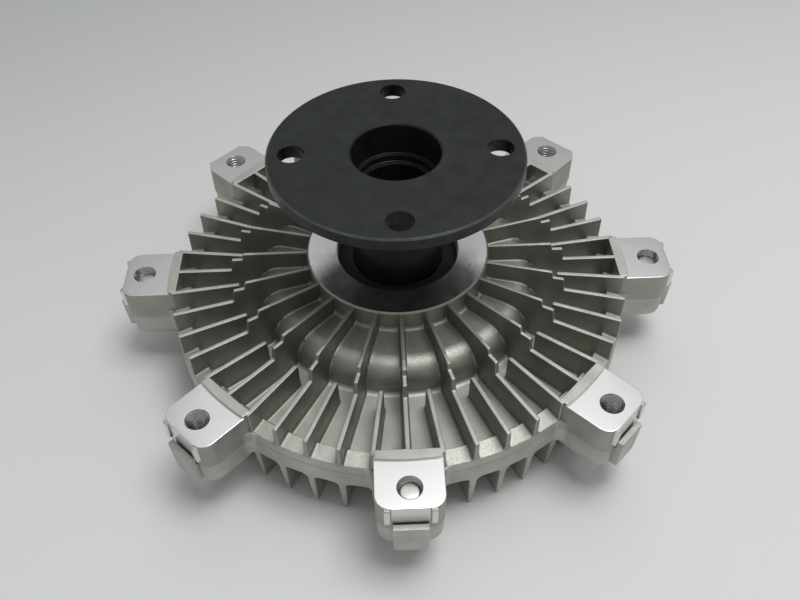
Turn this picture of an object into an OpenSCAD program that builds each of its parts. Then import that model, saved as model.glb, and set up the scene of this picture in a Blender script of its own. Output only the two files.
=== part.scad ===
// Viscous fan clutch, standing on the front fins of its cover with the drive flange on top.
// The axis is Z and z = 0 is the plane of the front fin tips. The first lug points along -Y.

/* [Drive flange] */
// Diameter of the drive flange
flange_d = 87.6; // [80:0.2:96]
// Thickness of the drive flange
flange_t = 5; // [4:0.5:8]
// Bolt circle of the flange holes
flange_pcd = 70.5; // [64:0.5:74]
// Diameter of a flange bolt hole
flange_hole_d = 9; // [6.5:0.1:10]
// Chamfer at both ends of a flange bolt hole
flange_hole_chamfer = 0.5; // [0.2:0.1:1]
// Number of flange bolt holes
flange_holes = 4; // [3:1:6]
// Space between the housing's collar and the flange
flange_gap = 39; // [32:1:60]
// Chamfer on turned steel edges
steel_chamfer = 0.6; // [0.2:0.1:1]

/* [Hub] */
// Diameter of the pilot bore in the flange
pilot_d = 30.6; // [24:0.1:32]
// Depth of the pilot bore
pilot_depth = 12.3; // [8:0.1:16]
// Diameter of the step under the pilot bore
step_d = 27.6; // [20:0.1:29]
// Depth of that step
step_depth = 2.5; // [1:0.1:4]
// Diameter of the relief bore under the step
relief_d = 24; // [12:0.5:25]
// Depth of the relief bore
relief_depth = 8; // [3:0.5:12]
// Wall of the boss round the pilot bore
pilot_wall = 5.5; // [4:0.1:8]
// Floor of the boss below the step
boss_floor = 4; // [2:0.5:8]
// Diameter of the neck between the boss and the bearing
neck_d = 32.6; // [30:0.1:38]
// Diameter of the rotor's seat on the shaft
rotor_seat_d = 21; // [16:0.5:23]
// Thickness of the head that is swaged over the rotor
swage_t = 1.6; // [1:0.1:2]
// Width of that head beyond the rotor's seat
swage_w = 2; // [1:0.1:3]

/* [Bearing] */
// Bore of the ball bearing
bearing_bore = 25; // [24:0.5:27]
// Outside diameter of the ball bearing
bearing_od = 52; // [50:0.5:56]
// Width of the ball bearing
bearing_w = 15; // [13:0.5:16]
// Diameter of a ball
ball_d = 7.94; // [6:0.01:8.5]
// Number of balls
balls = 9; // [7:1:10]
// Running gap between a ball and its races
race_gap = 0.15; // [0.1:0.01:0.2]
// Space between the bearing's rings beside the balls
ring_space = 6; // [5:0.1:6.4]
// Thickness of the cage beside a ball
cage_side = 1; // [0.6:0.1:1.2]
// Thickness of a bearing seal
seal_t = 1.2; // [0.8:0.1:1.6]
// Depth of a seal below the bearing's face
seal_inset = 0.4; // [0.2:0.1:0.8]
// Thickness of the retaining ring
clip_t = 1.5; // [1:0.1:2]
// Width of the retaining ring
clip_w = 3.2; // [2.5:0.1:4]
// Depth of the retaining ring's groove in the housing
clip_groove = 1.2; // [0.8:0.1:1.6]
// Gap between the retaining ring and the bottom of its groove
clip_fit = 0.1; // [0.05:0.05:0.3]
// Opening of the retaining ring, in degrees
clip_opening = 36; // [20:2:60]
// Diameter of the eyes at the ring's ends
clip_eye_d = 3.8; // [3:0.1:4.4]

/* [Rear housing] */
// Width of the two castings' rim outside the working chamber
rim_w = 8.8; // [8.6:0.1:12]
// Wall of the two castings
wall = 3.5; // [2.5:0.1:4]
// Height of the channel floor over the joint
floor_h = 2.5; // [1.5:0.1:4]
// Height of the raised land along the rim
land_h = 1.4; // [0.5:0.1:3]
// Width of that land
land_w = 5.8; // [3:0.1:8]
// Diameter of the dome
dome_d = 106; // [100:0.5:110]
// Height of the dome over the channel floor
dome_h = 11.3; // [9:0.1:13]
// Radius of the dome's rounded shoulder
knee_r = 8.5; // [4.5:0.1:9]
// Radius of the casting's inside corners
cast_fillet = 1.5; // [0.5:0.1:2.5]
// Height of the turned collar over the channel floor
collar_h = 19.5; // [18.8:0.1:24]
// Wall of the collar round the bearing
collar_wall = 7.7; // [6:0.1:9]
// Thickness of the lip over the bearing
lip_t = 3.5; // [2:0.1:5]
// Width of that lip
lip_w = 3.6; // [2:0.1:4]
// Wall of the bearing's boss inside the housing
boss_wall = 5; // [4:0.1:6]
// Height of the spigot that centres the housing in the cover
spigot_h = 1; // [0.5:0.1:2]
// Width of the rim outside the spigot
spigot_land = 7.3; // [7:0.1:8]

/* [Rear fins] */
// Number of long fins, with a short fin after each
fins = 24; // [16:8:32]
// Thickness of a fin at its tip
fin_tip = 1.9; // [1.2:0.1:2.6]
// Thickness of a fin at its root, level with the joint
fin_root = 3; // [2:0.1:3.6]
// Height of a long fin's inner part over the channel floor
fin_inner_h = 18.4; // [14:0.1:18.6]
// Reach of the inner part beyond the dome
fin_inner_reach = 4.8; // [2:0.1:8]
// Height of the step after it
fin_step_h = 15.7; // [11:0.1:17]
// Length of that step
fin_step_w = 4.6; // [2:0.1:7]
// Height of the outer part of the fins
fin_outer_h = 10.4; // [8:0.1:13]
// Distance of a short fin's inner end from the dome
fin_short_gap = 6.8; // [3:0.1:12]

/* [Lugs] */
// Number of lugs
lugs = 8; // [4:4:8]
// Distance of the lugs' holes from the rim
lug_reach = 10.7; // [9.5:0.1:14]
// Width of a lug
lug_w = 22; // [18:0.5:26]
// Distance from a lug's hole to its outer edge
lug_edge = 7.2; // [6:0.1:9]
// Radius of a lug's outer corners
lug_corner = 5; // [2:0.1:6]
// Radius between a lug's side and the rim
lug_fillet = 4; // [2:0.1:6]
// Height of a fan pad over the joint
pad_h = 12; // [9:0.1:15]
// Distance of the shoulder that centres the fan from the rim
fan_pilot_step = 1.2; // [0.8:0.1:3]
// Height of that shoulder over the pads
fan_pilot_h = 1; // [0.5:0.1:2]
// Width of the strip behind the shoulder
fan_pilot_w = 3.8; // [2:0.1:6]
// Diameter of an open lug thread, at its crests
thread_drill = 6.8; // [5:0.1:7]
// Mean diameter of a lug thread, where a screw sits in it
thread_mean = 7.2; // [5.4:0.1:7.6]
// Diameter of the countersunk mouth of a lug thread
thread_mouth = 8.3; // [7.4:0.1:9]
// Half width between the two ribs on a lug's outer face
rib_gap = 6.2; // [4.5:0.1:7]
// Width of such a rib
rib_w = 2; // [1:0.1:2.5]
// Depth of such a rib
rib_d = 0.8; // [0.4:0.1:1.2]
// Distance of the ribs' lower end from the joint
rib_z = 4; // [3.8:0.1:6]

/* [Front cover] */
// Height of the cover, from the joint to the front fin tips
cover_h = 26; // [25:0.5:34]
// Height of the cover's rim
cover_rim_h = 7.5; // [6:0.1:10]
// Height of the cover's lugs
cover_lug_h = 10.8; // [8:0.1:12]
// Wall under the reservoir
cover_skin = 3; // [2:0.1:4]
// Radius of the cover's rounded lower corners
cover_knee = 3; // [1:0.1:4]
// Thickness of a front fin at its tip
front_tip = 1.3; // [0.8:0.1:2]
// Thickness of a front fin at the rim
front_root = 2.8; // [2:0.1:3.6]
// Radius of the flare where a front fin meets the rim
front_flare = 4.4; // [2:0.1:4.8]
// Distance of the front fins' outer ends inside the rim
front_inset = 0.3; // [0.2:0.05:1]
// Slope of a front fin's outer edge, inwards at the tip
front_slope = 1.6; // [0:0.1:4]
// Radius of the open space round the coil
coil_space_r = 32; // [30:0.5:36]
// Width of the locking tab on a cover lug
tab_w = 11.8; // [8:0.1:12]
// Depth of that tab beyond the lug
tab_d = 2.6; // [1.5:0.1:3]
// Height of the tab over the joint
tab_h = 3.5; // [2:0.1:3.6]
// Gap between the tab and the housing's lug
tab_gap = 0.4; // [0.2:0.1:0.8]
// Distance of the tab's lower end from the lug's underside
tab_foot = 0.3; // [0.1:0.1:4]
// Slope of the tab's outer face, inwards at the foot
tab_slope = 0.5; // [0:0.1:1.5]
// Slope of the tab's two sides, inwards at the foot
tab_taper = 0.3; // [0:0.1:1]
// Radius of the tab's lower corners
tab_corner = 2; // [0.5:0.1:3]
// Chamfer along the joint of the two castings
joint_chamfer = 0.3; // [0.1:0.1:0.6]

/* [Working chamber] */
// Diameter of the rotor
rotor_d = 150; // [130:0.5:170]
// Thickness of the rotor's web
rotor_web = 4; // [3:0.1:5]
// Diameter of the rotor's boss
rotor_boss_d = 31; // [27:0.5:32]
// Gap between the rotor and the housing
rotor_gap = 0.6; // [0.4:0.1:1]
// Gap between the rotor's edge and the cover
rotor_edge_gap = 1.5; // [0.6:0.1:1.6]
// Number of ring lands on the rotor
lands = 4; // [2:1:4]
// Pitch of the lands
land_pitch = 4.4; // [4:0.1:4.4]
// Thickness of a land
land_t = 1.8; // [1.4:0.1:2]
// Height of a land
labyrinth_h = 4; // [3:0.1:4.5]
// Gap between the rotor's lands and the cover's ridges
labyrinth_gap = 0.4; // [0.3:0.05:0.6]
// Diameter of the seal ring's section
seal_ring_d = 1.8; // [1.4:0.1:2]
// Width of the seal ring's groove
seal_groove_w = 2.4; // [2.2:0.1:2.8]
// Amount by which a rubber ring is thinner than its space
ring_fit = 0.02; // [0.01:0.01:0.1]

/* [Valve] */
// Gap between the partition plate and the rotor's innermost land
plate_gap = 2; // [1:0.1:4]
// Width of the plate's seat beyond the plate
seat_edge = 0.5; // [0.2:0.1:0.8]
// Thickness of the partition plate
plate_t = 1.2; // [0.8:0.1:1.4]
// Height of the plate's seat over the chamber floor
plate_seat = 0.3; // [0.1:0.05:0.6]
// Width of the plate's seat
plate_seat_w = 5; // [4.6:0.1:6]
// Depth of the reservoir under the plate
reservoir_h = 3.7; // [3.4:0.1:5]
// Number of rivets in the plate
rivets = 6; // [3:1:10]
// Diameter of a rivet's shank
rivet_d = 2.8; // [2:0.1:3.2]
// Diameter of a rivet's head
rivet_head_d = 4.4; // [3.6:0.1:4.6]
// Height of a rivet's head
rivet_head_h = 0.9; // [0.5:0.1:1.2]
// Depth of a rivet in the cover
rivet_depth = 3; // [1.5:0.1:3.4]
// Clearance between a rivet and its holes
rivet_clear = 0.05; // [0.02:0.01:0.1]
// Distance of a rivet's head from the plate's edge
rivet_edge = 0.3; // [0.1:0.1:0.5]
// Diameter of an inlet hole in the plate
inlet_d = 6; // [3:0.1:8]
// Distance of the inlet holes from the reservoir's wall
inlet_edge = 10.5; // [6:0.5:16]
// Width of the valve arm
arm_w = 11; // [9:0.5:14]
// Thickness of the valve arm
arm_t = 0.9; // [0.6:0.1:1.2]
// Width of the valve arm beyond an inlet hole
arm_cover = 1; // [0.5:0.1:2]
// Gap between the valve arm and what lies over and under it
arm_gap = 0.35; // [0.3:0.05:0.5]
// Length of the wiper on the plate
wiper_l = 8; // [5:0.5:10]
// Width of the wiper
wiper_w = 4; // [3:0.5:5]
// Height of the wiper
wiper_h = 1.8; // [1:0.1:2]
// Distance of the wiper from the plate's edge
wiper_edge = 1; // [0.5:0.1:2]
// Diameter of the valve shaft
valve_d = 6; // [5:0.1:7]
// Diameter of the shaft's end that carries the arm
valve_tenon_d = 4.2; // [3:0.1:5]
// Running clearance of the valve shaft in the cover
valve_clear = 0.05; // [0.02:0.01:0.1]
// Diameter of the boss round the valve shaft
valve_boss_d = 16; // [12:0.5:20]
// Section of the valve shaft's seal
valve_seal_d = 1; // [0.8:0.1:1.4]
// Play of that seal along the shaft
valve_seal_play = 0.2; // [0.1:0.05:0.4]
// Thickness of the valve shaft's clip
valve_clip_t = 0.6; // [0.4:0.1:0.8]
// Width of that clip
valve_clip_w = 2.6; // [2:0.1:3]
// Diameter of the clip's groove in the shaft
valve_groove_d = 4.5; // [4:0.1:5]
// Mouth of the clip
valve_clip_mouth = 3.6; // [3:0.1:4]

/* [Bimetal coil] */
// Thickness of the coil's strip
strip_t = 1.2; // [0.6:0.1:1.4]
// Width of the coil's strip
strip_w = 6.8; // [5:0.1:7]
// Radius of the coil's first turn
coil_r = 5.2; // [4.8:0.1:6]
// Pitch of the coil's turns
coil_pitch = 3.4; // [2.8:0.1:3.6]
// Number of turns
coil_turns = 5; // [3:1:5]
// Length of the coil's straight outer end
coil_tail = 6; // [5:0.5:8]
// Gap between the coil and what holds its ends
coil_fit = 0.1; // [0.05:0.01:0.2]
// Distance from the coil's last turn to the post that holds its outer end
post_gap = 1.5; // [1:0.1:2]
// Wall of that post
post_wall = 1.5; // [1:0.1:1.7]

/* [Cover screws] */
// Thread diameter of the cover screws
screw_d = 8; // [7.2:0.1:8.4]
// Clearance between a screw and its holes
screw_clear = 0.4; // [0.2:0.05:0.6]
// Clearance between a screw's thread and the tapped hole
thread_clear = 0.05; // [0.02:0.01:0.1]
// Depth of a screw's end below the fan pad
screw_sink = 2.5; // [1:0.1:5]
// Diameter of a screw's domed head
screw_head_d = 13.4; // [12:0.1:14]
// Height of a screw's head
screw_head_h = 4.2; // [3:0.1:5]
// Diameter of the flat on the head
screw_crown_d = 7; // [6.4:0.1:8]
// Width across the flats of the head's socket
screw_socket = 5; // [4:0.1:5.4]
// Depth of that socket
screw_socket_h = 2.4; // [1.5:0.1:2.8]

/* [Hidden] */
$fn = 96;
// Overlap of a cut or of two joined forms
eps = 0.5;
// Reach of cuts that run out of the part
far = 20;
// Depth by which a form is sunk into the one that carries it
embed = 1;
// Distance of the fins' outer ends inside the rim
fin_inset = 0.05;
// Height and width of a front fin's flare as parts of its radius: its arc meets the rim at an angle
flare_rise = 0.85;
flare_spread = 0.6;
// Slope of a drill's point
drill_slope = 0.5;

// Heights, from the front fin tips upwards
joint_z = cover_h;
floor_z = joint_z + floor_h;
dome_z = floor_z + dome_h;
collar_z = floor_z + collar_h;
pad_z = joint_z + pad_h;
flange_z = collar_z + flange_gap;
top_z = flange_z + flange_t;
bearing_top = collar_z - lip_t;
bearing_z = bearing_top - bearing_w;
face_z = joint_z - spigot_h;
rotor_top = face_z - rotor_gap;
web_z = rotor_top - rotor_web;
swage_z = web_z - swage_t;
land_z = web_z - labyrinth_h;
chamber_z = land_z - labyrinth_gap;
seat_z = chamber_z + plate_seat;
plate_top = seat_z + plate_t;
reservoir_z = seat_z - reservoir_h;
arm_top = seat_z - arm_gap;
arm_z = arm_top - arm_t;
skin_z = reservoir_z - cover_skin;
rim_z = joint_z - cover_rim_h;
lug_z = joint_z - cover_lug_h;
valve_clip_z = skin_z - arm_gap - valve_clip_t;
strip_top = valve_clip_z - arm_gap;
strip_z = strip_top - strip_w;

// Radii
flange_r = flange_d / 2;
boss_r = pilot_d / 2 + pilot_wall;
boss_z = top_z - pilot_depth - step_depth - boss_floor;
rotor_r = rotor_d / 2;
chamber_r = rotor_r + rotor_edge_gap;
rim_r = chamber_r + rim_w;
dome_r = dome_d / 2;
bearing_r = bearing_od / 2;
collar_r = bearing_r + collar_wall;
lip_r = bearing_r - lip_w;
inner_boss_r = bearing_r + boss_wall;
ball_r = ball_d / 2;
ball_path = (bearing_bore + bearing_od) / 4;
shoulder = ring_space / 2;
spigot_r = rim_r - spigot_land;
drum_r = chamber_r + wall;
plate_r = rotor_r - (lands - 1) * land_pitch - land_t - plate_gap;
seat_out = plate_r + seat_edge;
reservoir_r = seat_out - plate_seat_w;
rivet_r = plate_r - rivet_head_d / 2 - rivet_edge;
inlet_r = reservoir_r - inlet_edge;
lug_r = rim_r + lug_reach;
lug_out = lug_r + lug_edge;
fan_pilot_r = rim_r + fan_pilot_step;
lug_in = fan_pilot_r - fan_pilot_w;
seal_path = (spigot_r + rim_r) / 2;
valve_r = valve_d / 2;
fin_pitch = 360 / fins;
lug_pitch = 360 / lugs;
coil_end = coil_r + coil_turns * coil_pitch;

// Finishes
black_steel = [0.16, 0.17, 0.17];
cast_grey = [0.62, 0.62, 0.6];
bright_steel = [0.72, 0.73, 0.75];
dark_rubber = [0.08, 0.08, 0.08];
bimetal = [0.72, 0.6, 0.4];
zinc = [0.7, 0.7, 0.66];
sheet_steel = [0.58, 0.59, 0.6];
brass = [0.75, 0.62, 0.32];

// A box in a half section, from corner to corner
module section(r1, z1, r2, z2) {
    translate([r1, z1]) square([r2 - r1, z2 - z1]);
}

// A corner of a half section that is to be rounded away, with the arc's centre at (r, z).
// The corner lies to the right of the centre, above it if up is 1 and below it if up is -1.
module outside_corner(r, z, radius, up) {
    difference() {
        translate([r, up > 0 ? z : z - radius - eps]) square(radius + eps);
        translate([r, z]) circle(radius);
    }
}

// A fillet in a half section, between a wall at r and a floor at z
module inside_corner(r, z, radius) {
    difference() {
        translate([r - eps, z - eps]) square(radius + eps);
        translate([r + radius, z + radius]) circle(radius);
    }
}

// A plate that stands on a radius, from its outline in radius and height
module upright(outline, thickness) {
    rotate([90, 0, 0]) linear_extrude(height = thickness, center = true) polygon(outline);
}

// A bar along a radius, from its section in width and height
module radial_bar(r1, r2) {
    translate([r1, 0, 0]) rotate([90, 0, 90]) linear_extrude(height = r2 - r1) children();
}

// Copies children to every lug, or from the first one given to every second one
module at_lugs(first = 0, step = 1) {
    for (i = [first : step : lugs - 1]) rotate(i * lug_pitch - 90) children();
}

// Copies children to every rivet of the partition plate
module at_rivets() {
    for (i = [0 : rivets - 1]) rotate(i * 360 / rivets) translate([rivet_r, 0, 0]) children();
}

// The steel hub: flange, pilot boss, neck, bearing seat and rotor seat, turned from one bar
module hub_shaft() {
    bevel = steel_chamfer;
    color(black_steel) difference() {
        rotate_extrude() polygon([
            [0, swage_z], [rotor_seat_d / 2 + swage_w - bevel, swage_z],
            [rotor_seat_d / 2 + swage_w, swage_z + bevel], [rotor_seat_d / 2 + swage_w, web_z],
            [rotor_seat_d / 2, web_z], [rotor_seat_d / 2, bearing_z],
            [bearing_bore / 2, bearing_z], [bearing_bore / 2, bearing_top],
            [neck_d / 2 - bevel, bearing_top], [neck_d / 2, bearing_top + bevel],
            [neck_d / 2, boss_z - (boss_r - neck_d / 2)], [boss_r, boss_z],
            [boss_r, flange_z], [flange_r - bevel, flange_z], [flange_r, flange_z + bevel],
            [flange_r, top_z - bevel], [flange_r - bevel, top_z], [0, top_z]
        ]);
        rotate_extrude() polygon([
            [0, top_z + eps], [pilot_d / 2 + bevel + eps, top_z + eps], [pilot_d / 2, top_z - bevel],
            [pilot_d / 2, top_z - pilot_depth], [step_d / 2, top_z - pilot_depth],
            [step_d / 2, top_z - pilot_depth - step_depth], [relief_d / 2, top_z - pilot_depth - step_depth],
            [relief_d / 2, top_z - pilot_depth - step_depth - relief_depth],
            [0, top_z - pilot_depth - step_depth - relief_depth - drill_slope * relief_d / 2]
        ]);
        for (i = [0 : flange_holes - 1])
            rotate(i * 360 / flange_holes) translate([flange_pcd / 2, 0, flange_z]) flange_hole();
    }
}

// A bolt hole through the flange, chamfered at both ends
module flange_hole() {
    wide = flange_hole_d + 2 * (flange_hole_chamfer + eps);
    cone = flange_hole_chamfer + eps;
    translate([0, 0, -eps]) cylinder(d = flange_hole_d, h = flange_t + 2 * eps);
    translate([0, 0, -eps]) cylinder(d1 = wide, d2 = flange_hole_d, h = cone);
    translate([0, 0, flange_t - flange_hole_chamfer]) cylinder(d1 = flange_hole_d, d2 = wide, h = cone);
}

// The rotor: a disc on the shaft with ring lands that run between the cover's ridges
module rotor_disc() {
    color(bright_steel) rotate_extrude() {
        section(rotor_seat_d / 2, web_z, rotor_r, rotor_top);
        section(rotor_seat_d / 2, web_z, rotor_boss_d / 2, bearing_z);
        for (i = [0 : lands - 1]) {
            outer = rotor_r - i * land_pitch;
            section(outer - land_t, land_z, outer, web_z + eps);
        }
    }
}

// The half section of the housing's outside: spigot, floor, land, dome and turned collar
module housing_section() {
    difference() {
        union() {
            section(0, face_z, spigot_r, joint_z + eps);
            section(0, joint_z, rim_r, floor_z);
            section(rim_r - land_w, joint_z, rim_r, floor_z + land_h);
            section(0, joint_z, dome_r, dome_z);
            inside_corner(dome_r, floor_z, cast_fillet);
            inside_corner(collar_r, dome_z, cast_fillet);
            section(0, joint_z, collar_r, collar_z);
        }
        outside_corner(dome_r - knee_r, dome_z - knee_r, knee_r, 1);
        polygon([
            [collar_r - steel_chamfer, collar_z + eps], [collar_r + eps, collar_z + eps],
            [collar_r + eps, collar_z - steel_chamfer - eps], [collar_r, collar_z - steel_chamfer],
            [collar_r - steel_chamfer, collar_z]
        ]);
        polygon([
            [rim_r - joint_chamfer, joint_z], [rim_r, joint_z + joint_chamfer],
            [rim_r + eps, joint_z + joint_chamfer], [rim_r + eps, joint_z - eps],
            [rim_r - joint_chamfer, joint_z - eps]
        ]);
    }
}

// The half section of the housing's inside: bearing seat, lip, clip groove and hollow under the dome
module housing_hollow() {
    section(0, face_z - eps, bearing_r, bearing_top);
    section(0, face_z - eps, lip_r, collar_z + eps);
    section(0, bearing_z - clip_t, bearing_r + clip_groove, bearing_z);
    difference() {
        section(inner_boss_r, face_z - eps, dome_r - wall, dome_z - wall);
        outside_corner(dome_r - knee_r, dome_z - knee_r, knee_r - wall, 1);
    }
}

// A rear fin with drafted sides, from its outline in radius and height
module rear_fin(outline) {
    tip_z = floor_z + fin_inner_h;
    intersection() {
        upright(outline, fin_root);
        radial_bar(0, rim_r) polygon([
            [-fin_root / 2, joint_z], [fin_root / 2, joint_z], [fin_tip / 2, tip_z], [-fin_tip / 2, tip_z]
        ]);
    }
}

// The long fins, which step down from the collar over the dome to the rim, and the short ones between
module rear_fins() {
    end = rim_r - fin_inset;
    inner_end = dome_r + fin_inner_reach;
    step_end = inner_end + fin_step_w;
    outer_z = floor_z + fin_outer_h;
    for (i = [0 : fins - 1]) rotate(i * fin_pitch) {
        rear_fin([
            [collar_r - embed, joint_z + embed], [collar_r - embed, floor_z + fin_inner_h],
            [inner_end, floor_z + fin_inner_h], [inner_end, floor_z + fin_step_h],
            [step_end, floor_z + fin_step_h], [step_end, outer_z], [end, outer_z], [end, joint_z + embed]
        ]);
        rotate(fin_pitch / 2) rear_fin([
            [dome_r + fin_short_gap, joint_z + embed], [dome_r + fin_short_gap, outer_z],
            [end, outer_z], [end, joint_z + embed]
        ]);
    }
}

// The plan of a lug: straight sides and rounded outer corners
module lug_plan(inset) {
    half = lug_w / 2 - inset;
    out = lug_out - inset;
    translate([lug_in, -half]) square([out - lug_corner - lug_in, 2 * half]);
    translate([lug_in, lug_corner - half]) square([out - lug_in, 2 * (half - lug_corner)]);
    for (side = [-1, 1])
        translate([out - lug_corner, side * (half - lug_corner)]) circle(lug_corner);
}

// The plan of the two fillets between a lug's sides and the rim
module lug_fillets(inset) {
    half = lug_w / 2 - inset;
    centre_y = half + lug_fillet;
    centre_x = sqrt(pow(rim_r + lug_fillet, 2) - pow(centre_y, 2));
    touch = rim_r / (rim_r + lug_fillet);
    for (side = [-1, 1]) difference() {
        polygon([
            [centre_x, side * (half - eps)], [centre_x, side * centre_y],
            [centre_x * touch - eps, side * centre_y * touch],
            [centre_x * touch - eps, side * (half - eps)]
        ]);
        translate([centre_x, side * centre_y]) circle(lug_fillet);
    }
}

// A housing lug with the strip behind its pad and the two ribs on its outer face
module housing_lug() {
    translate([0, 0, joint_z]) linear_extrude(height = pad_h) lug_plan(0);
    translate([0, 0, joint_z]) linear_extrude(height = floor_h + land_h) lug_fillets(0);
    translate([lug_in, -lug_w / 2, joint_z])
        cube([fan_pilot_r + embed - lug_in, lug_w, pad_h + fan_pilot_h]);
    for (side = [-1, 1])
        translate([lug_out - lug_corner, side > 0 ? rib_gap : -rib_gap - rib_w, joint_z + rib_z])
            cube([lug_corner + rib_d, rib_w, pad_h - rib_z]);
}

// A tapped hole through a lug, with its countersunk mouth
module lug_thread(d) {
    mouth = (thread_mouth - d) / 2;
    translate([lug_r, 0, joint_z - eps]) cylinder(d = d, h = pad_h + 2 * eps);
    translate([lug_r, 0, pad_z - mouth]) cylinder(d1 = d, d2 = thread_mouth + 2 * eps, h = mouth + eps);
}

// The rear housing: one finned casting with a turned collar and milled fan pads
module rear_housing() {
    color(cast_grey) difference() {
        union() {
            rotate_extrude() housing_section();
            rear_fins();
            at_lugs() housing_lug();
        }
        rotate_extrude() housing_hollow();
        rotate_extrude() section(fan_pilot_r, pad_z, lug_out + far, pad_z + far);
        at_lugs(0, 2) lug_thread(thread_mean);
        at_lugs(1, 2) lug_thread(thread_drill);
    }
}

// The half section of the cover's outside: rim, drum and the bottom of the reservoir
module cover_section() {
    difference() {
        union() {
            section(0, rim_z, rim_r, joint_z);
            difference() {
                section(0, chamber_z - wall, drum_r, joint_z);
                outside_corner(drum_r - cover_knee, chamber_z - wall + cover_knee, cover_knee, -1);
            }
            difference() {
                section(0, skin_z, seat_out + wall, joint_z);
                outside_corner(seat_out + wall - cover_knee, skin_z + cover_knee, cover_knee, -1);
            }
        }
        polygon([
            [rim_r - joint_chamfer, joint_z], [rim_r, joint_z - joint_chamfer],
            [rim_r + eps, joint_z - joint_chamfer], [rim_r + eps, joint_z + eps],
            [rim_r - joint_chamfer, joint_z + eps]
        ]);
    }
}

// The half section of the cover's inside. What is left standing are the ridges between the
// rotor's lands, the seat of the partition plate and the boss of the valve shaft.
module cover_hollow() {
    section(0, face_z, spigot_r, joint_z + eps);
    difference() {
        section(0, chamber_z, chamber_r, joint_z);
        section(0, chamber_z - eps, seat_out, seat_z);
        for (i = [1 : lands - 1]) {
            inner = rotor_r - i * land_pitch;
            section(inner + labyrinth_gap, chamber_z - eps,
                    inner + land_pitch - land_t - labyrinth_gap, web_z - labyrinth_gap);
        }
    }
    difference() {
        section(0, reservoir_z, reservoir_r, seat_z + eps);
        section(0, reservoir_z - eps, valve_boss_d / 2, arm_z - arm_gap);
    }
    section(0, skin_z - eps, valve_r + valve_clear, joint_z);
    section(seal_path - seal_groove_w / 2, joint_z - seal_ring_d,
            seal_path + seal_groove_w / 2, joint_z + eps);
}

// A front fin: drafted sides that flare into the rim, and an outer edge that slopes inwards
module front_fin(inner) {
    end = rim_r - front_inset;
    root = front_root / 2;
    flare_z = rim_z - flare_rise * front_flare;
    flare_w = root + flare_spread * front_flare;
    top = rim_z + embed;
    intersection() {
        upright([[inner, 0], [end - front_slope, 0], [end, top], [inner, top]], 2 * flare_w);
        radial_bar(0, rim_r) difference() {
            polygon([
                [-front_tip / 2, 0], [front_tip / 2, 0], [root, flare_z], [flare_w, flare_z],
                [flare_w, top], [-flare_w, top], [-flare_w, flare_z], [-root, flare_z]
            ]);
            for (side = [-1, 1])
                translate([side * (root + front_flare), flare_z]) circle(front_flare);
        }
    }
}

// The front fins lie under the rear ones: the long ones reach in to the coil's open space
module front_fins() {
    for (i = [0 : fins - 1]) rotate(i * fin_pitch) {
        front_fin(coil_space_r);
        rotate(fin_pitch / 2) front_fin(seat_out);
    }
}

// A cover lug with rounded lower edges and the tab that locks between the housing's ribs
module cover_lug() {
    out = lug_out - joint_chamfer;
    half = lug_w / 2 - joint_chamfer;
    round = cover_knee;
    tab_out = lug_out + tab_d;
    tab_z = lug_z + tab_foot;
    tab_top = joint_z + tab_h;
    tab_half = tab_w / 2 - tab_taper;
    intersection() {
        translate([0, 0, lug_z]) linear_extrude(height = cover_lug_h) lug_plan(joint_chamfer);
        radial_bar(lug_in - eps, lug_out) difference() {
            section(-half - eps, lug_z, half + eps, joint_z);
            for (side = [-1, 1]) mirror([side > 0 ? 0 : 1, 0])
                outside_corner(half - round, lug_z + round, round, -1);
        }
    }
    translate([0, 0, rim_z + eps]) linear_extrude(height = cover_rim_h - eps) lug_fillets(joint_chamfer);
    intersection() {
        upright([
            [out - round, tab_z], [tab_out - tab_slope, tab_z], [tab_out, tab_top],
            [lug_out + tab_gap, tab_top], [lug_out + tab_gap, joint_z - joint_chamfer],
            [out - round, joint_z - joint_chamfer]
        ], tab_w);
        radial_bar(out - round, tab_out) difference() {
            polygon([[-tab_half, tab_z], [tab_half, tab_z], [tab_w / 2, tab_top], [-tab_w / 2, tab_top]]);
            for (side = [-1, 1]) mirror([side > 0 ? 0 : 1, 0])
                outside_corner(tab_half - tab_corner, tab_z + tab_corner, tab_corner, -1);
        }
    }
}

// The post that holds the coil's outer end in a slot
module coil_post() {
    slot = strip_t + 2 * coil_fit;
    size = slot + 2 * post_wall;
    inside = coil_tail + coil_fit - post_gap;
    difference() {
        translate([coil_end - size / 2, post_gap, strip_z])
            cube([size, inside + post_wall, skin_z - strip_z + eps]);
        translate([coil_end - slot / 2, post_gap - eps, strip_z - eps])
            cube([slot, inside + eps, strip_w + coil_fit + eps]);
    }
}

// The front cover: one finned casting that holds the working chamber, the reservoir and the valve
module front_cover() {
    color(cast_grey) {
        difference() {
            union() {
                rotate_extrude() cover_section();
                front_fins();
                at_lugs() cover_lug();
                coil_post();
            }
            rotate_extrude() cover_hollow();
            at_lugs() translate([lug_r, 0, lug_z - eps])
                cylinder(d = screw_d + 2 * screw_clear, h = cover_lug_h + 2 * eps);
            at_rivets() translate([0, 0, seat_z - rivet_depth - rivet_clear])
                cylinder(d = rivet_d + 2 * rivet_clear, h = rivet_depth + rivet_clear + eps);
        }
    }
}

// The seal ring between the two castings
module cover_seal_ring() {
    color(dark_rubber) rotate_extrude()
        translate([seal_path, joint_z - seal_ring_d / 2]) circle(d = seal_ring_d - ring_fit);
}

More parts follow.
